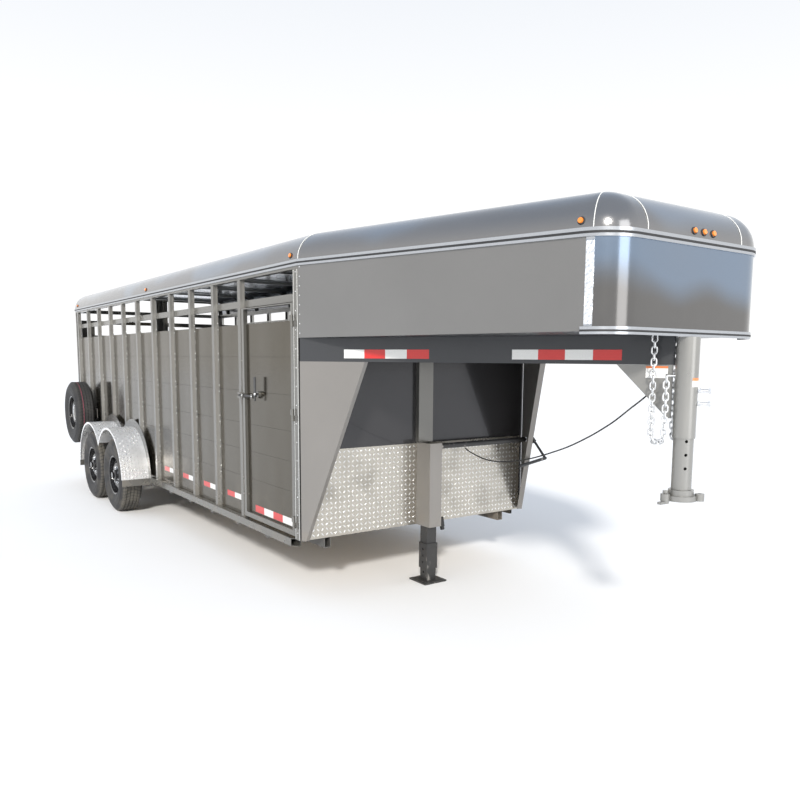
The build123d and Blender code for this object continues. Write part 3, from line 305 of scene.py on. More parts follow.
def wheel_enamel(name, centre, side):
    """Gloss black steel with bright nuts and a dusty hub."""
    paint = Finish(name, Coat_Weight=0.6, Coat_Roughness=0.05)
    x = paint.x - centre.x
    z = paint.z - centre.z
    radius = (x * x + z * z).math("SQRT")
    out = (paint.y - centre.y) * side
    ring = paint.ramp(radius, 0.066, 0.067) * (1 - paint.ramp(radius, 0.099, 0.100))
    nuts = ring * paint.ramp(out, 0.0570, 0.0575)
    dust = paint.ramp(paint.noise(14, 5), 0.45, 0.8) * 0.4
    tone = paint.mix(dust, (0.012, 0.012, 0.013, 1), (0.055, 0.052, 0.047, 1))
    return paint.set(
        Base_Color=paint.mix(nuts, tone, (0.80, 0.81, 0.82, 1)),
        Metallic=nuts,
        Roughness=0.24 + dust * 0.4 - nuts * 0.1,
        Normal=paint.bump(paint.noise(90, 2), 0.0003))


def zinc(name):
    metal = Finish(name, Metallic=0.9)
    spangle = metal.cells(140)
    return metal.set(
        Base_Color=metal.mix(spangle, (0.62, 0.63, 0.64, 1), (0.88, 0.89, 0.90, 1)),
        Roughness=0.25 + spangle * 0.2,
        Normal=metal.bump(metal.noise(200, 3), 0.0003))


def treated_board(name):
    """Rough sawn boards along the trailer, each with its own grain and tone."""
    wood = Finish(name, Coat_Weight=0.0)
    board = (wood.y * 7.0).math("FLOOR").math("SINE")
    grain = wood.noise(26, 6, (0.05, 1, 1))
    rings = (wood.noise(4, 3, (0.08, 1, 1)) * 60 + board * 9).math("SINE") * 0.5 + 0.5
    tone = wood.mix(grain * 0.6 + rings * 0.3, (0.25, 0.17, 0.09, 1), (0.50, 0.38, 0.23, 1))
    return wood.set(
        Base_Color=wood.mix(board * 0.15 + 0.15, tone, (0.20, 0.18, 0.10, 1)),
        Roughness=0.7 + grain * 0.2,
        Normal=wood.bump(grain + rings * 0.2, 0.0012))


def lens(name, tone, glow):
    """Ribbed lamp plastic."""
    plastic = Finish(name, Coat_Weight=0.8, Coat_Roughness=0.03, Emission_Strength=0.5)
    ribs = (plastic.z * 1400).math("SINE") * 0.5 + 0.5
    return plastic.set(
        Base_Color=plastic.mix(ribs, tone, shade(tone, 0.7)),
        Roughness=0.12 + ribs * 0.08,
        Emission_Color=plastic.mix(ribs, glow, shade(glow, 0.5)),
        Normal=plastic.bump(ribs, 0.0006))


def reflective(name, tone):
    """Prismatic tape: small cells under a clear film."""
    film = Finish(name, Coat_Weight=0.7, Coat_Roughness=0.08)
    prisms = film.cells(260)
    return film.set(
        Base_Color=film.mix(prisms, tone, shade(tone, 0.86)),
        Roughness=0.28 + prisms * 0.12,
        Normal=film.bump(prisms, 0.0002))


def sealant(name):
    bead = Finish(name)
    wave = bead.noise(60, 4)
    return bead.set(
        Base_Color=bead.mix(wave, (0.66, 0.66, 0.64, 1), (0.86, 0.86, 0.84, 1)),
        Roughness=0.5 + wave * 0.2,
        Normal=bead.bump(wave, 0.002))


def decal(name, split):
    """A blank label: white with an orange head."""
    film = Finish(name, Coat_Weight=0.5)
    head = film.z.math("GREATER_THAN", split)
    fibre = film.noise(30, 3)
    return film.set(
        Base_Color=film.mix(head, film.mix(fibre, (0.78, 0.78, 0.76, 1), (0.86, 0.86, 0.84, 1)),
                            (0.72, 0.20, 0.06, 1)),
        Roughness=0.35 + fibre * 0.1)


def floor_finish():
    ground = Finish("studio_floor")
    cloud = ground.noise(0.7, 3)
    return ground.set(
        Base_Color=ground.mix(cloud, (0.92, 0.92, 0.92, 1), (0.945, 0.945, 0.945, 1)),
        Roughness=0.8 + cloud * 0.1)


def paint_nodes():
    """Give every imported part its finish."""
    # Dark paint whose bronze tone is a painted reflection of dark ground and trees.
    panel = metallic_paint("panel_painted_reflection", (0.106, 0.093, 0.070), metal=0.90, gloss=0.16, coat=0.15,
                           dents=0.012)
    side = metallic_paint("nose_side_paint", (0.192, 0.190, 0.186), metal=0.45, gloss=0.34, coat=0.2,
                          dents=0.003)
    # Nose skin: bluish above and dark grey below, a painted reflection of sky and ground.
    skin = metallic_paint("nose_skin_painted_reflection", (0.180, 0.258, 0.370, 1), metal=0.92, gloss=0.15, coat=0.4,
                          dents=0.004, low_reflection_tone=(0.112, 0.110, 0.108, 1), band=(1.93, 2.12))
    # Roof: bluish above the shoulder and grey below, a painted reflection of sky and ground.
    roof = metallic_paint("roof_painted_reflection", (0.270, 0.320, 0.385, 1), metal=0.85, gloss=0.16, dents=0.003,
                          low_reflection_tone=(0.220, 0.220, 0.225, 1), band=(2.36, 2.50))
    post = metallic_paint("post_paint", (0.185, 0.180, 0.166), metal=0.60, gloss=0.24, coat=0.3)
    # A lighter copy of the post paint for the posts' forward and back faces: painted sunlight on the post
    # sides.
    post_flank_light = metallic_paint("post_flank_painted_light", (0.430, 0.420, 0.395), metal=0.60, gloss=0.24, coat=0.3)
    wedge = metallic_paint("wedge_paint", (0.236, 0.224, 0.210), metal=0.45, gloss=0.36, coat=0.2,
                           dents=0.002)
    # Far darker than the wedge paint the beams share: painted shade of the nose over the beams and nose
    # floor.
    beam = metallic_paint("beam_painted_shade", (0.050, 0.052, 0.056), metal=0.4, gloss=0.38, coat=0.2)
    # Near black: painted shadow of the nose on the front wall.
    wall = metallic_paint("front_wall_painted_shadow", (0.040, 0.039, 0.041), metal=0.5, gloss=0.22,
                          dents=0.004, dust=0.1)
    chassis = metallic_paint("underframe_paint", (0.10, 0.098, 0.092), metal=0.3, gloss=0.5, coat=0.1,
                             dust=0.8)
    coupler = metallic_paint("coupler_paint", (0.265, 0.262, 0.250), metal=0.45, gloss=0.30, coat=0.2)
    inner = metallic_paint("roof_rib_paint", (0.26, 0.26, 0.25), metal=0.5, gloss=0.35, coat=0.2)
    finishes = {
        panel: "side_panels",
        side: "nose_side_panels",
        skin: "nose_front_skin",
        roof: "roof_main roof_nose",
        post: "wall_posts wall_rails rear_frame front_posts escape_door rear_gate centre_gate rub_rails "
              "fender_plates hinge_pins",
        wedge: "wedge_panels jack_casing spare_bracket",
        beam: "gooseneck_beams nose_cross_members nose_floor",
        wall: "front_wall",
        chassis: "chassis_rails cross_members axles suspension",
        coupler: "coupler_sleeve coupler_stem coupler_head coupler_latch neck_gussets",
        inner: "roof_bows",
        bright_sheet("kick_sheet", (0.49, 0.46, 0.405, 1)): "kick_plate",
        bright_sheet("fender_sheet", (0.90, 0.90, 0.90, 1), metal=0.6): "fenders",
        trim_metal("trim_metal"): "edge_trim",
        rubber("insert_rubber"): "trim_insert",
        rubber("plug_rubber", (0.012, 0.012, 0.012, 1)): "connector_plug",
        scuffed_black("jack_enamel"): "jack_leg jack_cross_tube crank_handle",
        scuffed_black("latch_enamel"): "door_latch_bar door_latch_handle rear_gate_latch",
        zinc("galvanised"): "coupler_bolts safety_chains",
        treated_board("floor_boards"): "floor_planks",
        lens("amber_lens", (0.80, 0.24, 0.03, 1), (0.9, 0.25, 0.02, 1)): "marker_lamps",
        lens("red_lens", (0.55, 0.015, 0.012, 1), (0.6, 0.02, 0.01, 1)): "tail_lamps",
    }
    for material, names in finishes.items():
        for name in names.split():
            coat(nodes[name], material)
    # The forward and back faces of the posts take the lighter copy: painted light.
    recoat(nodes["wall_posts"], post_flank_light, is_flank)
    for name in ("escape_door", "rear_gate", "centre_gate"):
        recoat(nodes[name], panel, is_broad)
    for name in nodes:
        if name.startswith("tyre_") or name == "spare_tyre":
            spare = {"stripe": -0.034, "dusty": (0.050, 0.048, 0.044, 1)} if name == "spare_tyre" else {}
            coat(nodes[name], tyre_rubber(name + "_rubber", centre_of(name), **spare))
        if name.startswith("rim_") or name == "spare_rim":
            tyre = name.replace("rim", "tyre")
            centre = centre_of(tyre)
            side = 1 if centre.y > 0 else -1
            coat(nodes[name], wheel_enamel(name + "_enamel", centre, side))


def coat(piece, material):
    piece.data.materials.clear()
    piece.data.materials.append(material)


def recoat(piece, material, wanted):
    """Give the faces that are wanted another finish."""
    piece.data.materials.append(material)
    index = len(piece.data.materials) - 1
    for face in piece.data.polygons:
        if wanted(face):
            face.material_index = index


def is_broad(face):
    """True for a large upright face: a door's or gate's sheet, or a long side of its frame."""
    return face.area > 0.04 and abs(face.normal.z) < 0.1


def is_flank(face):
    """True for a face that looks forward or back, as the sides of a post do."""
    return abs(face.normal.x) > 0.9


def centre_of(node):
    low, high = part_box(node)
    return (low + high) / 2


# ---------------------------------------------------------------- modelling helpers
def start_alone():
    if bpy.context.object and bpy.context.object.mode != "OBJECT":
        bpy.ops.object.mode_set(mode="OBJECT")
    bpy.ops.object.select_all(action="DESELECT")


def settle(piece):
    """Put the piece's place into its mesh."""
    start_alone()
    piece.select_set(True)
    bpy.context.view_layer.objects.active = piece
    bpy.ops.object.transform_apply(location=True, rotation=True, scale=True)
    return piece


def apply_modifiers(piece):
    start_alone()
    piece.select_set(True)
    bpy.context.view_layer.objects.active = piece
    for modifier in list(piece.modifiers):
        bpy.ops.object.modifier_apply(modifier=modifier.name)
    return piece


def copies(piece, places):
    """The piece at each place, each copy with its own mesh, joined into one."""
    made = []
    for place in places:
        twin = piece.copy()
        twin.data = piece.data.copy()
        twin.data.transform(place)
        bpy.context.scene.collection.objects.link(twin)
        made.append(twin)
    bpy.data.objects.remove(piece)
    return joined(made)


def joined(pieces):
    start_alone()
    for piece in pieces:
        piece.select_set(True)
    bpy.context.view_layer.objects.active = pieces[0]
    bpy.ops.object.join()
    return bpy.context.object


def smooth(piece, angle=35):
    start_alone()
    piece.select_set(True)
    bpy.context.view_layer.objects.active = piece
    bpy.ops.object.shade_smooth_by_angle(angle=radians(angle))


def keep(piece, name, material, body="trailer"):
    """Name, finish and fasten a new piece."""
    piece.name = name
    piece.data.name = name
    if material:
        coat(piece, material)
    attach(piece, body)
    return piece


def mirrored(piece):
    """The same piece on the other side of the trailer."""
    twin = piece.copy()
    twin.data = piece.data.copy()
    twin.data.transform(Matrix.Scale(-1, 4, (0, 1, 0)))
    twin.data.flip_normals()
    bpy.context.scene.collection.objects.link(twin)
    return twin


def plate(corner, along, up, length, height, thickness, segments=1, edge=0.0002):
    """A thin plate on a surface: a grid drawn out to its thickness, with eased edges."""
    start_alone()
    bpy.ops.mesh.primitive_grid_add(x_subdivisions=segments, y_subdivisions=1, size=1)
    piece = bpy.context.object
    bpy.ops.object.mode_set(mode="EDIT")
    bpy.ops.mesh.select_all(action="SELECT")
    bpy.ops.mesh.extrude_region_move(TRANSFORM_OT_translate={"value": (0, 0, 1)})
    bpy.ops.mesh.select_all(action="SELECT")
    bpy.ops.mesh.normals_make_consistent(inside=False)
    bpy.ops.object.mode_set(mode="OBJECT")
    out = along.cross(up)
    turn = Matrix((along * length, up * height, out * thickness)).transposed().to_4x4()
    piece.data.transform(Matrix.Translation(Vector((0.5, 0.5, 0))))
    piece.data.transform(Matrix.Translation(corner) @ turn)
    bevel = piece.modifiers.new("edges", "BEVEL")
    bevel.width = edge
    bevel.segments = 1
    bevel.limit_method = "ANGLE"
    return apply_modifiers(piece)


def dome(radius, height, sides=10):
    """A round head standing on the XY plane, closed underneath."""
    start_alone()
    bpy.ops.mesh.primitive_uv_sphere_add(segments=sides, ring_count=6, radius=radius)
    piece = bpy.context.object
    bpy.ops.object.mode_set(mode="EDIT")
    bpy.ops.mesh.select_all(action="SELECT")
    bpy.ops.mesh.bisect(plane_co=(0, 0, 0), plane_no=(0, 0, 1), clear_inner=True, use_fill=True)
    bpy.ops.mesh.select_all(action="SELECT")
    bpy.ops.mesh.normals_make_consistent(inside=False)
    bpy.ops.object.mode_set(mode="OBJECT")
    piece.data.transform(Matrix.Diagonal((1, 1, height / radius, 1)))
    smooth(piece, 50)
    return piece


def standing(place, out):
    """A turn that stands a piece on a surface whose outward direction is given."""
    return Matrix.Translation(place) @ Vector(out).to_track_quat("Z", "Y").to_matrix().to_4x4()


def bead(points, radius, name, material, slot="dark_rubber"):
    """A round bead along a line of points."""
    start_alone()
    line = bpy.data.curves.new(name, "CURVE")
    line.dimensions = "3D"
    run = line.splines.new("POLY")
    run.points.add(len(points) - 1)
    for point, place in zip(run.points, points):
        point.co = (*place, 1)
    line.bevel_depth = radius
    line.bevel_resolution = 2
    line.use_fill_caps = True
    piece = bpy.data.objects.new(name, line)
    bpy.context.scene.collection.objects.link(piece)
    piece.select_set(True)
    bpy.context.view_layer.objects.active = piece
    bpy.ops.object.convert(target="MESH")
    piece = bpy.context.object
    smooth(piece, 60)
    return keep(piece, name, material)


# ---------------------------------------------------------------- cords
CABLE_ROUTE = [
    (2.040, -0.032, 1.514), (1.998, -0.024, 1.485), (1.956, -0.016, 1.458), (1.913, -0.008, 1.432),
    (1.869, 0.001, 1.403), (1.826, 0.009, 1.375), (1.782, 0.017, 1.347), (1.724, 0.028, 1.315),
    (1.666, 0.039, 1.285), (1.610, 0.050, 1.257), (1.553, 0.061, 1.231), (1.485, 0.074, 1.201),
    (1.416, 0.087, 1.172), (1.347, 0.100, 1.146), (1.279, 0.113, 1.123), (1.211, 0.126, 1.101),
    (1.142, 0.139, 1.079), (1.068, 0.153, 1.057), (0.993, 0.167, 1.036), (0.918, 0.182, 1.017),
    (0.837, 0.198, 0.999), (0.755, 0.214, 0.984), (0.673, 0.229, 0.971), (0.595, 0.244, 0.961),
    (0.517, 0.259, 0.955), (0.438, 0.274, 0.953), (0.362, 0.288, 0.957), (0.287, 0.302, 0.966),
    (0.221, 0.315, 0.976), (0.155, 0.328, 0.988), (0.106, 0.338, 1.004)]
CORD_ROUTE = [
    (0.118, 0.096, 1.012), (0.116, 0.091, 0.985), (0.112, 0.086, 0.950), (0.107, 0.083, 0.905),
    (0.103, 0.081, 0.850), (0.101, 0.080, 0.790), (0.100, 0.081, 0.730), (0.100, 0.084, 0.670),
    (0.101, 0.089, 0.610), (0.102, 0.095, 0.560), (0.102, 0.102, 0.515), (0.102, 0.108, 0.481)]


def flex(name, route, radius, material):
    """A cord as one smooth line with the route's points as its control points."""
    line = bpy.data.curves.new(name, "CURVE")
    line.dimensions = "3D"
    run = line.splines.new("NURBS")
    run.points.add(len(route) - 1)
    for point, place in zip(run.points, route):
        point.co = (*at(*place), 1)
    run.order_u = 3
    run.use_endpoint_u = True
    run.resolution_u = 8
    line.bevel_depth = radius
    line.bevel_resolution = 3
    line.use_fill_caps = True
    piece = bpy.data.objects.new(name, line)
    bpy.context.scene.collection.objects.link(piece)
    line.materials.append(material)
    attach(piece, "trailer")
    return piece


def make_cords():
    sheath = rubber("cable_sheath", (0.014, 0.014, 0.014, 1))
    cable = flex("neck_cable", CABLE_ROUTE, 0.0045, sheath)
    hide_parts("wiring_cable")
    at(*CABLE_ROUTE[0])
    lead = flex("plug_lead", CORD_ROUTE, 0.004, sheath)
    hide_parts("connector_cord")
    at(*CORD_ROUTE[0])


# ---------------------------------------------------------------- tape and labels
TAPE_THICKNESS = 0.0006
SIDE_TAPE = (0.312, 0.045)    # length and height of the strip in a bay
SIDE_TAPE_PLACE = (-1.377, 0.545)
SIDE_TAPE_BAYS = 4
DOOR_TAPE = (0.63, 0.054)
DOOR_TAPE_PLACE = (-0.790, 0.503)
DOOR_FACE = 1.021             # outer face of the door's sheet
NECK_TAPE_SPANS = ((0.329, 0.885), (1.366, 1.925))
NECK_TAPE_BOTTOM = 1.691
NECK_TAPE_HEIGHT = 0.056
GUSSET_LABEL = (0.112, 0.062)
GUSSET_LABEL_PLACE = (2.263, -0.004, 1.600)
SLEEVE_LABEL_Z = 1.582
SLEEVE_LABEL_HEIGHT = 0.045
SLEEVE_LABEL_ENDS = (radians(-26), radians(33))   # round the sleeve from straight ahead


def tape(name, corner, along, up, length, height, blocks, first, body="trailer"):
    """A strip of reflective tape in equal blocks of red and white."""
    strip = plate(corner, along, up, length, height, TAPE_THICKNESS, segments=blocks)
    keep(strip, name, tape_red, body)
    strip.data.materials.append(tape_white)
    for face in strip.data.polygons:
        run = (Vector(face.center) - corner).dot(along) / length
        block = min(blocks - 1, max(0, int(run * blocks)))
        face.material_index = (block + first) % 2
    return strip


def neck_tape():
    """Two strips on the outer face of each neck beam, the first pieces white at the box."""
    along = Vector((cos(NECK_ANGLE), sin(NECK_ANGLE), 0))
    up = Vector((0, 0, 1))
    for i, (start, end) in enumerate(NECK_TAPE_SPANS):
        corner = neck(start / cos(NECK_ANGLE), PROUD, NECK_TAPE_BOTTOM)
        length = (end - start) / cos(NECK_ANGLE)
        strip = tape(f"neck_tape_right_{i}", corner, along, up, length, NECK_TAPE_HEIGHT, 4, 1)
        keep(mirrored(strip), f"neck_tape_left_{i}", None)


def side_tape():
    """Short strips low on the bays ahead of the wheels, four blocks on the door."""
    along = Vector((1, 0, 0))
    up = Vector((0, 0, 1))
    x, z = DOOR_TAPE_PLACE
    tape("door_tape", at(x, -(DOOR_FACE + PROUD), z), along, up, *DOOR_TAPE, 4, 0, body="side_door")
    x, z = SIDE_TAPE_PLACE
    for bay in range(SIDE_TAPE_BAYS):
        corner = at(x - POST_PITCH * bay, -(PANEL_OUT + PROUD), z)
        strip = tape(f"bay_tape_right_{bay}", corner, along, up, *SIDE_TAPE, 2, 0)
        keep(mirrored(strip), f"bay_tape_left_{bay}", None)


def labels():
    """Blank labels on each gusset and on the coupler sleeve."""
    along = Vector((cos(NECK_ANGLE), sin(NECK_ANGLE), 0))
    s, out, z = GUSSET_LABEL_PLACE
    blank = plate(neck(s, out + PROUD, z), along, Vector((0, 0, 1)), *GUSSET_LABEL, TAPE_THICKNESS)
    material = decal("gusset_label", 1.650)
    keep(blank, "gusset_label_right", material)
    keep(mirrored(blank), "gusset_label_left", None)
    start_alone()
    centre = at(COUPLER_X, 0, SLEEVE_LABEL_Z)
    bpy.ops.mesh.primitive_cylinder_add(vertices=64, radius=SLEEVE_RADIUS + PROUD, location=centre,
                                        depth=SLEEVE_LABEL_HEIGHT, end_fill_type="NOTHING")
    band = settle(bpy.context.object)
    bpy.ops.object.mode_set(mode="EDIT")
    bpy.ops.mesh.select_all(action="SELECT")
    for angle, inner in zip(SLEEVE_LABEL_ENDS, (True, False)):
        normal = (-sin(angle), cos(angle), 0)
        bpy.ops.mesh.bisect(plane_co=centre, plane_no=normal, clear_inner=inner, clear_outer=not inner)
        bpy.ops.mesh.select_all(action="SELECT")
    bpy.ops.object.mode_set(mode="OBJECT")
    skin = band.modifiers.new("film", "SOLIDIFY")
    skin.thickness = TAPE_THICKNESS
    skin.offset = 1
    apply_modifiers(band)
    smooth(band, 40)
    keep(band, "sleeve_label", decal("sleeve_label", 1.590))


# ---------------------------------------------------------------- tread plate
def tread_lug():
    """One low lens-shaped lug, lying along X."""
    lug = dome(LUG_RADIUS, LUG_HEIGHT, sides=8)
    lug.data.transform(Matrix.Diagonal((1, 0.34, 1, 1)))
    return lug


def kick_plate_lugs():
    """Lugs at alternate slants over both kick plates."""
    low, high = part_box("kick_plate")
    inner = 0.062
    places = []
    columns = int((high.y - inner) / TREAD_PITCH)
    rows = int((high.z - low.z - 0.01) / TREAD_PITCH)
    for column in range(columns):
        for row in range(rows):
            y = inner + (column + 0.5) * TREAD_PITCH
            z = low.z + 0.008 + (row + 0.5) * TREAD_PITCH
            slant = radians(45 if (column + row) % 2 else -45)
            place = Vector((high.x + HEAD_GAP, y, z))
            places.append(Matrix.Translation(place) @ Matrix.Rotation(pi / 2, 4, "Y")
                          @ Matrix.Rotation(slant, 4, "Z"))
    lugs = copies(tread_lug(), places)
    keep(mirrored(lugs), "kick_tread_right", tread_metal)
    keep(lugs, "kick_tread_left", tread_metal)


def fender_lugs():
    """Rows of lugs round each wheel arch, cut off where the two arches meet and at the skirts."""
    middle = sum(AXLES_X) / 2
    places = []
    inner, outer = FENDER_EDGES
    columns = int((outer - inner) / TREAD_PITCH)
    step = TREAD_PITCH / FENDER_RADIUS
    for arch, centre_x in enumerate((AXLES_X[0] - FENDER_BACK, AXLES_X[1] + FENDER_BACK)):
        for row in range(int(pi / step)):
            angle = (row + 0.5) * step
            x = centre_x + FENDER_RADIUS * cos(angle)
            z = FENDER_CENTRE_Z + FENDER_RADIUS * sin(angle)
            ahead = x > middle + 0.012 if arch == 0 else x < middle - 0.012
            if not ahead or z < FENDER_BOTTOM + 0.012:
                continue
            for column in range(columns):
                y = -(inner + (column + 0.5) * TREAD_PITCH)
                slant = radians(45 if (column + row) % 2 else -45)
                out = Vector((cos(angle), 0, sin(angle)))
                foot = at(x, y, z) + out * HEAD_GAP
                places.append(standing(foot, out) @ Matrix.Rotation(slant, 4, "Z"))
    lugs = copies(tread_lug(), places)
    keep(mirrored(lugs), "fender_tread_left", tread_metal)
    keep(lugs, "fender_tread_right", tread_metal)


# ---------------------------------------------------------------- rivets, beads and small fittings
def post_flanges():
    """Strips along the flanges of the posts behind the door post, a little wider than the flanges."""
    along = Vector((1, 0, 0))
    up = Vector((0, 0, 1))
    flanges = []
    for post in range(1, POST_COUNT):
        x = DOOR_POST_X - POST_PITCH * post
        for start in (x + POST_WIDTH / 2, x - POST_WIDTH / 2 - FLANGE_WIDTH):
            corner = at(start, -(PANEL_OUT + PROUD), FLANGE_BOTTOM)
            flanges.append(plate(corner, along, up, FLANGE_WIDTH, FLANGE_HEIGHT, FLANGE_THICKNESS))
    flanges = joined(flanges)
    keep(mirrored(flanges), "post_flanges_left", flange_highlight)
    keep(flanges, "post_flanges_right", flange_highlight)


def post_rivets():
    """A rivet above and below every sheet joint in each forward flange."""
    places = []
    face = -(PANEL_OUT + PROUD + FLANGE_THICKNESS + HEAD_GAP)
    for post in range(1, POST_COUNT):
        x = DOOR_POST_X - POST_PITCH * post + POST_WIDTH / 2 + FLANGE_WIDTH / 2
        for seam in PANEL_SEAMS:
            for z in (seam - RIVET_OFFSET, seam + RIVET_OFFSET):
                places.append(standing(at(x, face, z), (0, -1, 0)))
    rivets = copies(dome(0.0055, 0.003), places)
    keep(mirrored(rivets), "post_rivets_left", rivet_metal)
    keep(rivets, "post_rivets_right", rivet_metal)


def panel_screws():
    """Dark screw heads at the sheet joints, ahead of each forward flange."""
    places = []
    face = -(PANEL_OUT + HEAD_GAP)
    for post in range(1, POST_COUNT):
        x = DOOR_POST_X - POST_PITCH * post + POST_WIDTH / 2 + FLANGE_WIDTH + SCREW_OFFSET
        for seam in PANEL_SEAMS:
            places.append(standing(at(x, face, seam), (0, -1, 0)))
    screws = copies(dome(0.0075, 0.0035), places)
    keep(mirrored(screws), "panel_screws_left", dark_steel)
    keep(screws, "panel_screws_right", dark_steel)


def nose_rivets():
    """A line of rivets up the rear edge of each nose side and up the corner post."""
    places = []
    out = (sin(NOSE_TAPER), -cos(NOSE_TAPER), 0)
    for i in range(NOSE_RIVETS):
        z = NOSE_BOTTOM + 0.03 + i * NOSE_RIVET_PITCH
        places.append(standing(at(NOSE_RIVET_X, -(HALF_WIDTH - NOSE_RIVET_X * tan(NOSE_TAPER)), z), out))
    for i in range(CORNER_RIVETS):
        z = WALL_BOTTOM + 0.05 + i * CORNER_RIVET_PITCH
        places.append(standing(at(CORNER_RIVET_X, -HALF_WIDTH, z), (0, -1, 0)))
    rivets = copies(dome(0.0045, 0.0026), places)
    keep(mirrored(rivets), "edge_rivets_left", rivet_metal)
    keep(rivets, "edge_rivets_right", rivet_metal)


def corner_beads():
    """Half-round beads up both edges of the front corner posts."""
    for x in (-0.064, -0.010):
        ends = [at(x, -HALF_WIDTH, WALL_BOTTOM + 0.004), at(x, -HALF_WIDTH, EAVE - 0.052)]
        place = int(-x * 1000)
        right_bead = bead(ends, 0.0042, f"corner_bead_right_{place}", bead_metal, "bright_aluminium")
        keep(mirrored(right_bead), f"corner_bead_left_{place}", None)


def shoulder(base, out, place):
    """Points up a quarter circle of the roof's shoulder from a point on its eave line."""
    steps = 12
    points = []
    for i in range(steps + 1):
        angle = pi / 2 * i / steps
        inward = ROOF_RADIUS * (1 - cos(angle))
        points.append(place(base[0] - out[0] * inward, base[1] - out[1] * inward,
                            EAVE + 0.012 + (ROOF_RADIUS - 0.012) * sin(angle)))
    return points


def roof_sealant():
    """White sealant where the nose roof meets the box, and along the seams of the two corner caps."""
    right_arc = shoulder((0.001, -HALF_WIDTH), (0, -1), at)
    left_arc = [Vector((p.x, -p.y, p.z)) for p in reversed(right_arc)]
    bead(right_arc + left_arc, 0.0025, "roof_joint_sealant", caulk)
    reach = CORNER_RADIUS * tan((pi / 2 - NOSE_TAPER) / 2)
    centre_y = HALF_WIDTH - NOSE_FRONT * tan(NOSE_TAPER) - reach
    out = (cos(CAP_SEAM_TURN), -sin(CAP_SEAM_TURN))
    side_base = (NOSE_FRONT - CORNER_RADIUS + CORNER_RADIUS * out[0],
                 -centre_y + CORNER_RADIUS * out[1])
    caps = {"side": (side_base, out), "front": ((NOSE_FRONT, -CAP_SEAM_Y), (1, 0))}
    for name, (base, out) in caps.items():
        seam = bead(shoulder(base, out, tilted), 0.0022, f"cap_seam_{name}_right", caulk)
        keep(mirrored(seam), f"cap_seam_{name}_left", None)


def lamp_bezels():
    """A black ring round every clearance lamp."""
    lean = LAMP_LEAN
    rise = ROOF_RADIUS * sin(lean)
    run = ROOF_RADIUS * (1 - cos(lean))
    rings = []
    for x in LAMP_XS:
        rings.append((at(x, -(HALF_WIDTH - run), EAVE + rise), (0, -cos(lean), sin(lean))))
    half = HALF_WIDTH - NOSE_LAMP_X * tan(NOSE_TAPER) - run
    side_out = (sin(NOSE_TAPER) * cos(lean), -cos(NOSE_TAPER) * cos(lean), sin(lean))
    rings.append((at(NOSE_LAMP_X, -half, EAVE + rise - NOSE_LAMP_X * tan(NOSE_DROP)), side_out))
    start_alone()
    bpy.ops.mesh.primitive_torus_add(major_segments=24, minor_segments=8, major_radius=0.0165,
                                     minor_radius=0.0032)
    ring = bpy.context.object
    ring.data.transform(Matrix.Translation((0, 0, 0.002)))
    smooth(ring, 60)
    front = ring.copy()
    front.data = ring.data.copy()
    bpy.context.scene.collection.objects.link(front)
    right_rings = copies(ring, [standing(place, out) for place, out in rings])
    keep(mirrored(right_rings), "lamp_bezels_left", dark_steel)
    keep(right_rings, "lamp_bezels_right", dark_steel)
    drop = NOSE_FRONT * tan(NOSE_DROP)
    places = [standing(at(NOSE_FRONT - run + 0.0005, y, EAVE + rise - drop), (cos(lean), 0, sin(lean)))
              for y in FRONT_LAMP_YS]
    keep(copies(front, places), "lamp_bezels_front", dark_steel)


def latch_bolts():
    """Bolt heads on the door latch's pivot and on its guides."""
    heads = [standing(at(LATCH_SPINDLE[0], -1.066, LATCH_SPINDLE[1]), (0, -1, 0))]
    pivot = copies(dome(0.011, 0.006, 12), heads)
    keep(pivot, "latch_pivot_head", rivet_metal, "door_handle")
    guides = []
    for x in (DOOR_LATCH_EDGE + 0.024, DOOR_LATCH_EDGE + 0.202):
        guides.append(standing(at(x, -1.064, 1.400), (0, -1, 0)))
    keep(copies(dome(0.006, 0.0035), guides), "latch_guide_heads", rivet_metal, "side_door")


def dome_light():
    """A round ceiling light under the roof in the front half of the box."""
    start_alone()
    place = at(-1.1, 0, EAVE + ROOF_RADIUS - 0.030)
    light = dome(0.085, 0.035, sides=28)
    light.data.transform(Matrix.Translation(place) @ Matrix.Rotation(pi, 4, "X"))
    keep(light, "ceiling_light", tape_white)


def wheel_valves():
    """A short rubber valve in each road wheel, turned differently on each."""
    for i, name in enumerate(("front_right", "rear_right", "front_left", "rear_left")):
        centre = centre_of("tyre_" + name)
        side = 1 if centre.y > 0 else -1
        angle = radians(40 + 75 * i)
        spot = centre + Vector((VALVE_CIRCLE * cos(angle), side * 0.036, VALVE_CIRCLE * sin(angle)))
        start_alone()
        bpy.ops.mesh.primitive_cone_add(vertices=14, radius1=0.0055, radius2=0.0042, depth=0.036)
        valve = bpy.context.object
        valve.data.transform(standing(spot + Vector((0, side * 0.018, 0)), (0, side, 0)))
        bevel = valve.modifiers.new("edges", "BEVEL")
        bevel.width = 0.0008
        bevel.segments = 2
        apply_modifiers(valve)
        smooth(valve, 40)
        keep(valve, f"valve_{name}", dark_steel, f"wheel_{name}")


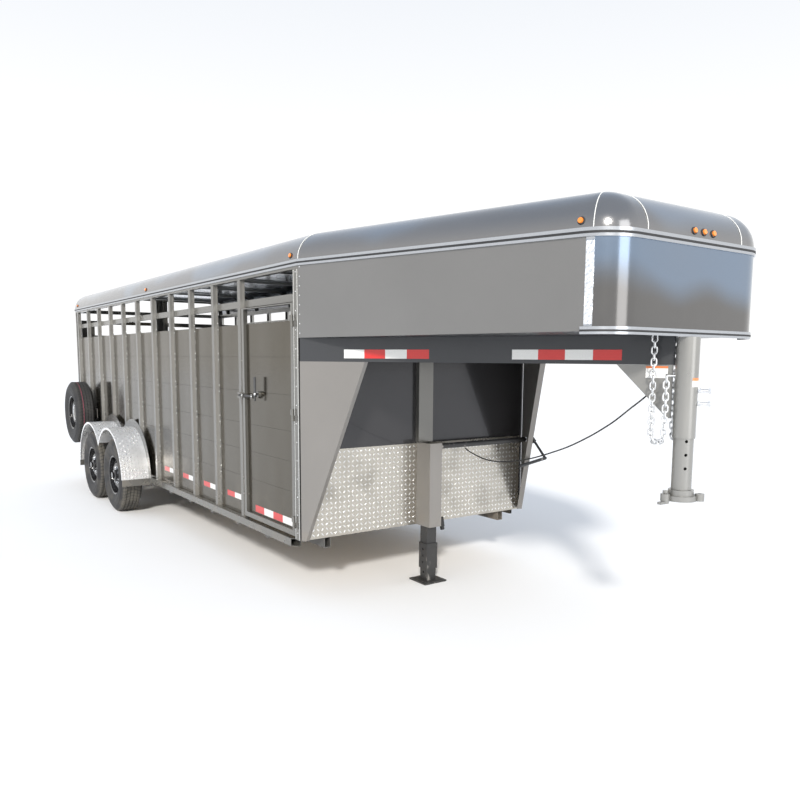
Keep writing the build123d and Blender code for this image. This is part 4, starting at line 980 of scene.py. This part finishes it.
# ---------------------------------------------------------------- studio
def stage():
    start_alone()
    bpy.ops.mesh.primitive_plane_add(size=160, location=(0, 0, 0))
    ground = bpy.context.object
    ground.name = "studio_floor"
    coat(ground, floor_finish())
    world = bpy.context.scene.world or bpy.data.worlds.new("studio")
    bpy.context.scene.world = world
    world.use_nodes = True
    tree = world.node_tree
    sky = tree.nodes["Background"]
    sky.inputs["Strength"].default_value = 1.08
    coordinates = tree.nodes.new("ShaderNodeTexCoord")
    axes = tree.nodes.new("ShaderNodeSeparateXYZ")
    ramp = tree.nodes.new("ShaderNodeValToRGB")
    ramp.color_ramp.elements[0].position = 0.20
    ramp.color_ramp.elements[0].color = (1.0, 1.0, 1.0, 1)
    ramp.color_ramp.elements[1].position = 0.80
    ramp.color_ramp.elements[1].color = (0.54, 0.61, 0.72, 1)
    tree.links.new(coordinates.outputs["Generated"], axes.inputs[0])
    tree.links.new(axes.outputs["Z"], ramp.inputs[0])
    tree.links.new(ramp.outputs[0], sky.inputs["Color"])
    bpy.context.scene.view_settings.view_transform = "Standard"


def lamp_of(kind, name, place, target, strength, tone, size):
    """A light turned from its place to its target; the size is metres, or radians for a sun."""
    light = bpy.data.lights.new(name, kind)
    light.energy = strength
    light.color = tone
    if kind == "SUN":
        light.angle = size
    else:
        light.shape = "RECTANGLE"
        light.size, light.size_y = size
    lamp = bpy.data.objects.new(name, light)
    bpy.context.scene.collection.objects.link(lamp)
    lamp.location = place
    lamp.rotation_euler = (Vector(target) - Vector(place)).to_track_quat("-Z", "Y").to_euler()


def camera():
    """The viewing angle: ahead of the right-hand corner, at eye height."""
    yaw, pitch, roll = radians(35.491), radians(6.947), radians(0.398)
    forward = Vector((-cos(yaw) * cos(pitch), sin(yaw) * cos(pitch), -sin(pitch)))
    level = forward.cross(Vector((0, 0, 1))).normalized()
    upright = level.cross(forward)
    side = level * cos(roll) + upright * sin(roll)
    up = upright * cos(roll) - level * sin(roll)
    view = bpy.data.cameras.new("camera")
    view.sensor_width = 36
    view.lens = 33.516
    view.shift_x = -0.0058
    view.shift_y = 0.0616
    view.clip_end = 300
    eye = bpy.data.objects.new("camera", view)
    bpy.context.scene.collection.objects.link(eye)
    turn = Matrix((side, up, -forward)).transposed().to_4x4()
    eye.matrix_world = Matrix.Translation((4.430, -3.386, 1.692)) @ turn
    bpy.context.scene.camera = eye


# ---------------------------------------------------------------- make it
camera()
make_cords()
tape_red = reflective("tape_red", RED)
tape_white = reflective("tape_white", WHITE)
tread_metal = bright_sheet("tread_lug_metal", (0.84, 0.84, 0.84, 1))
rivet_metal = zinc("rivet_metal")
dark_steel = rubber("dark_steel", (0.02, 0.02, 0.022, 1))
# A lighter copy of the post paint on the flange strips: painted highlight.
flange_highlight = metallic_paint("flange_painted_highlight", (0.270, 0.262, 0.243), metal=0.6, gloss=0.26, coat=0.3)
bead_metal = bright_sheet("bead_metal", (0.60, 0.60, 0.58, 1))
caulk = sealant("sealant")
paint_nodes()
neck_tape()
side_tape()
labels()
kick_plate_lugs()
fender_lugs()
post_flanges()
post_rivets()
panel_screws()
nose_rivets()
corner_beads()
roof_sealant()
lamp_bezels()
latch_bolts()
dome_light()
wheel_valves()
stage()
lamp_of("SUN", "key", (1.67, -1.345, 1.15), (0, 0, 0), 3.2, (1.0, 0.96, 0.90), radians(6))
lamp_of("AREA", "strip", (10.0, 0.4, 3.5), (2.1, -0.5, 2.1), 196, (1, 1, 1), (4.2, 6.0))
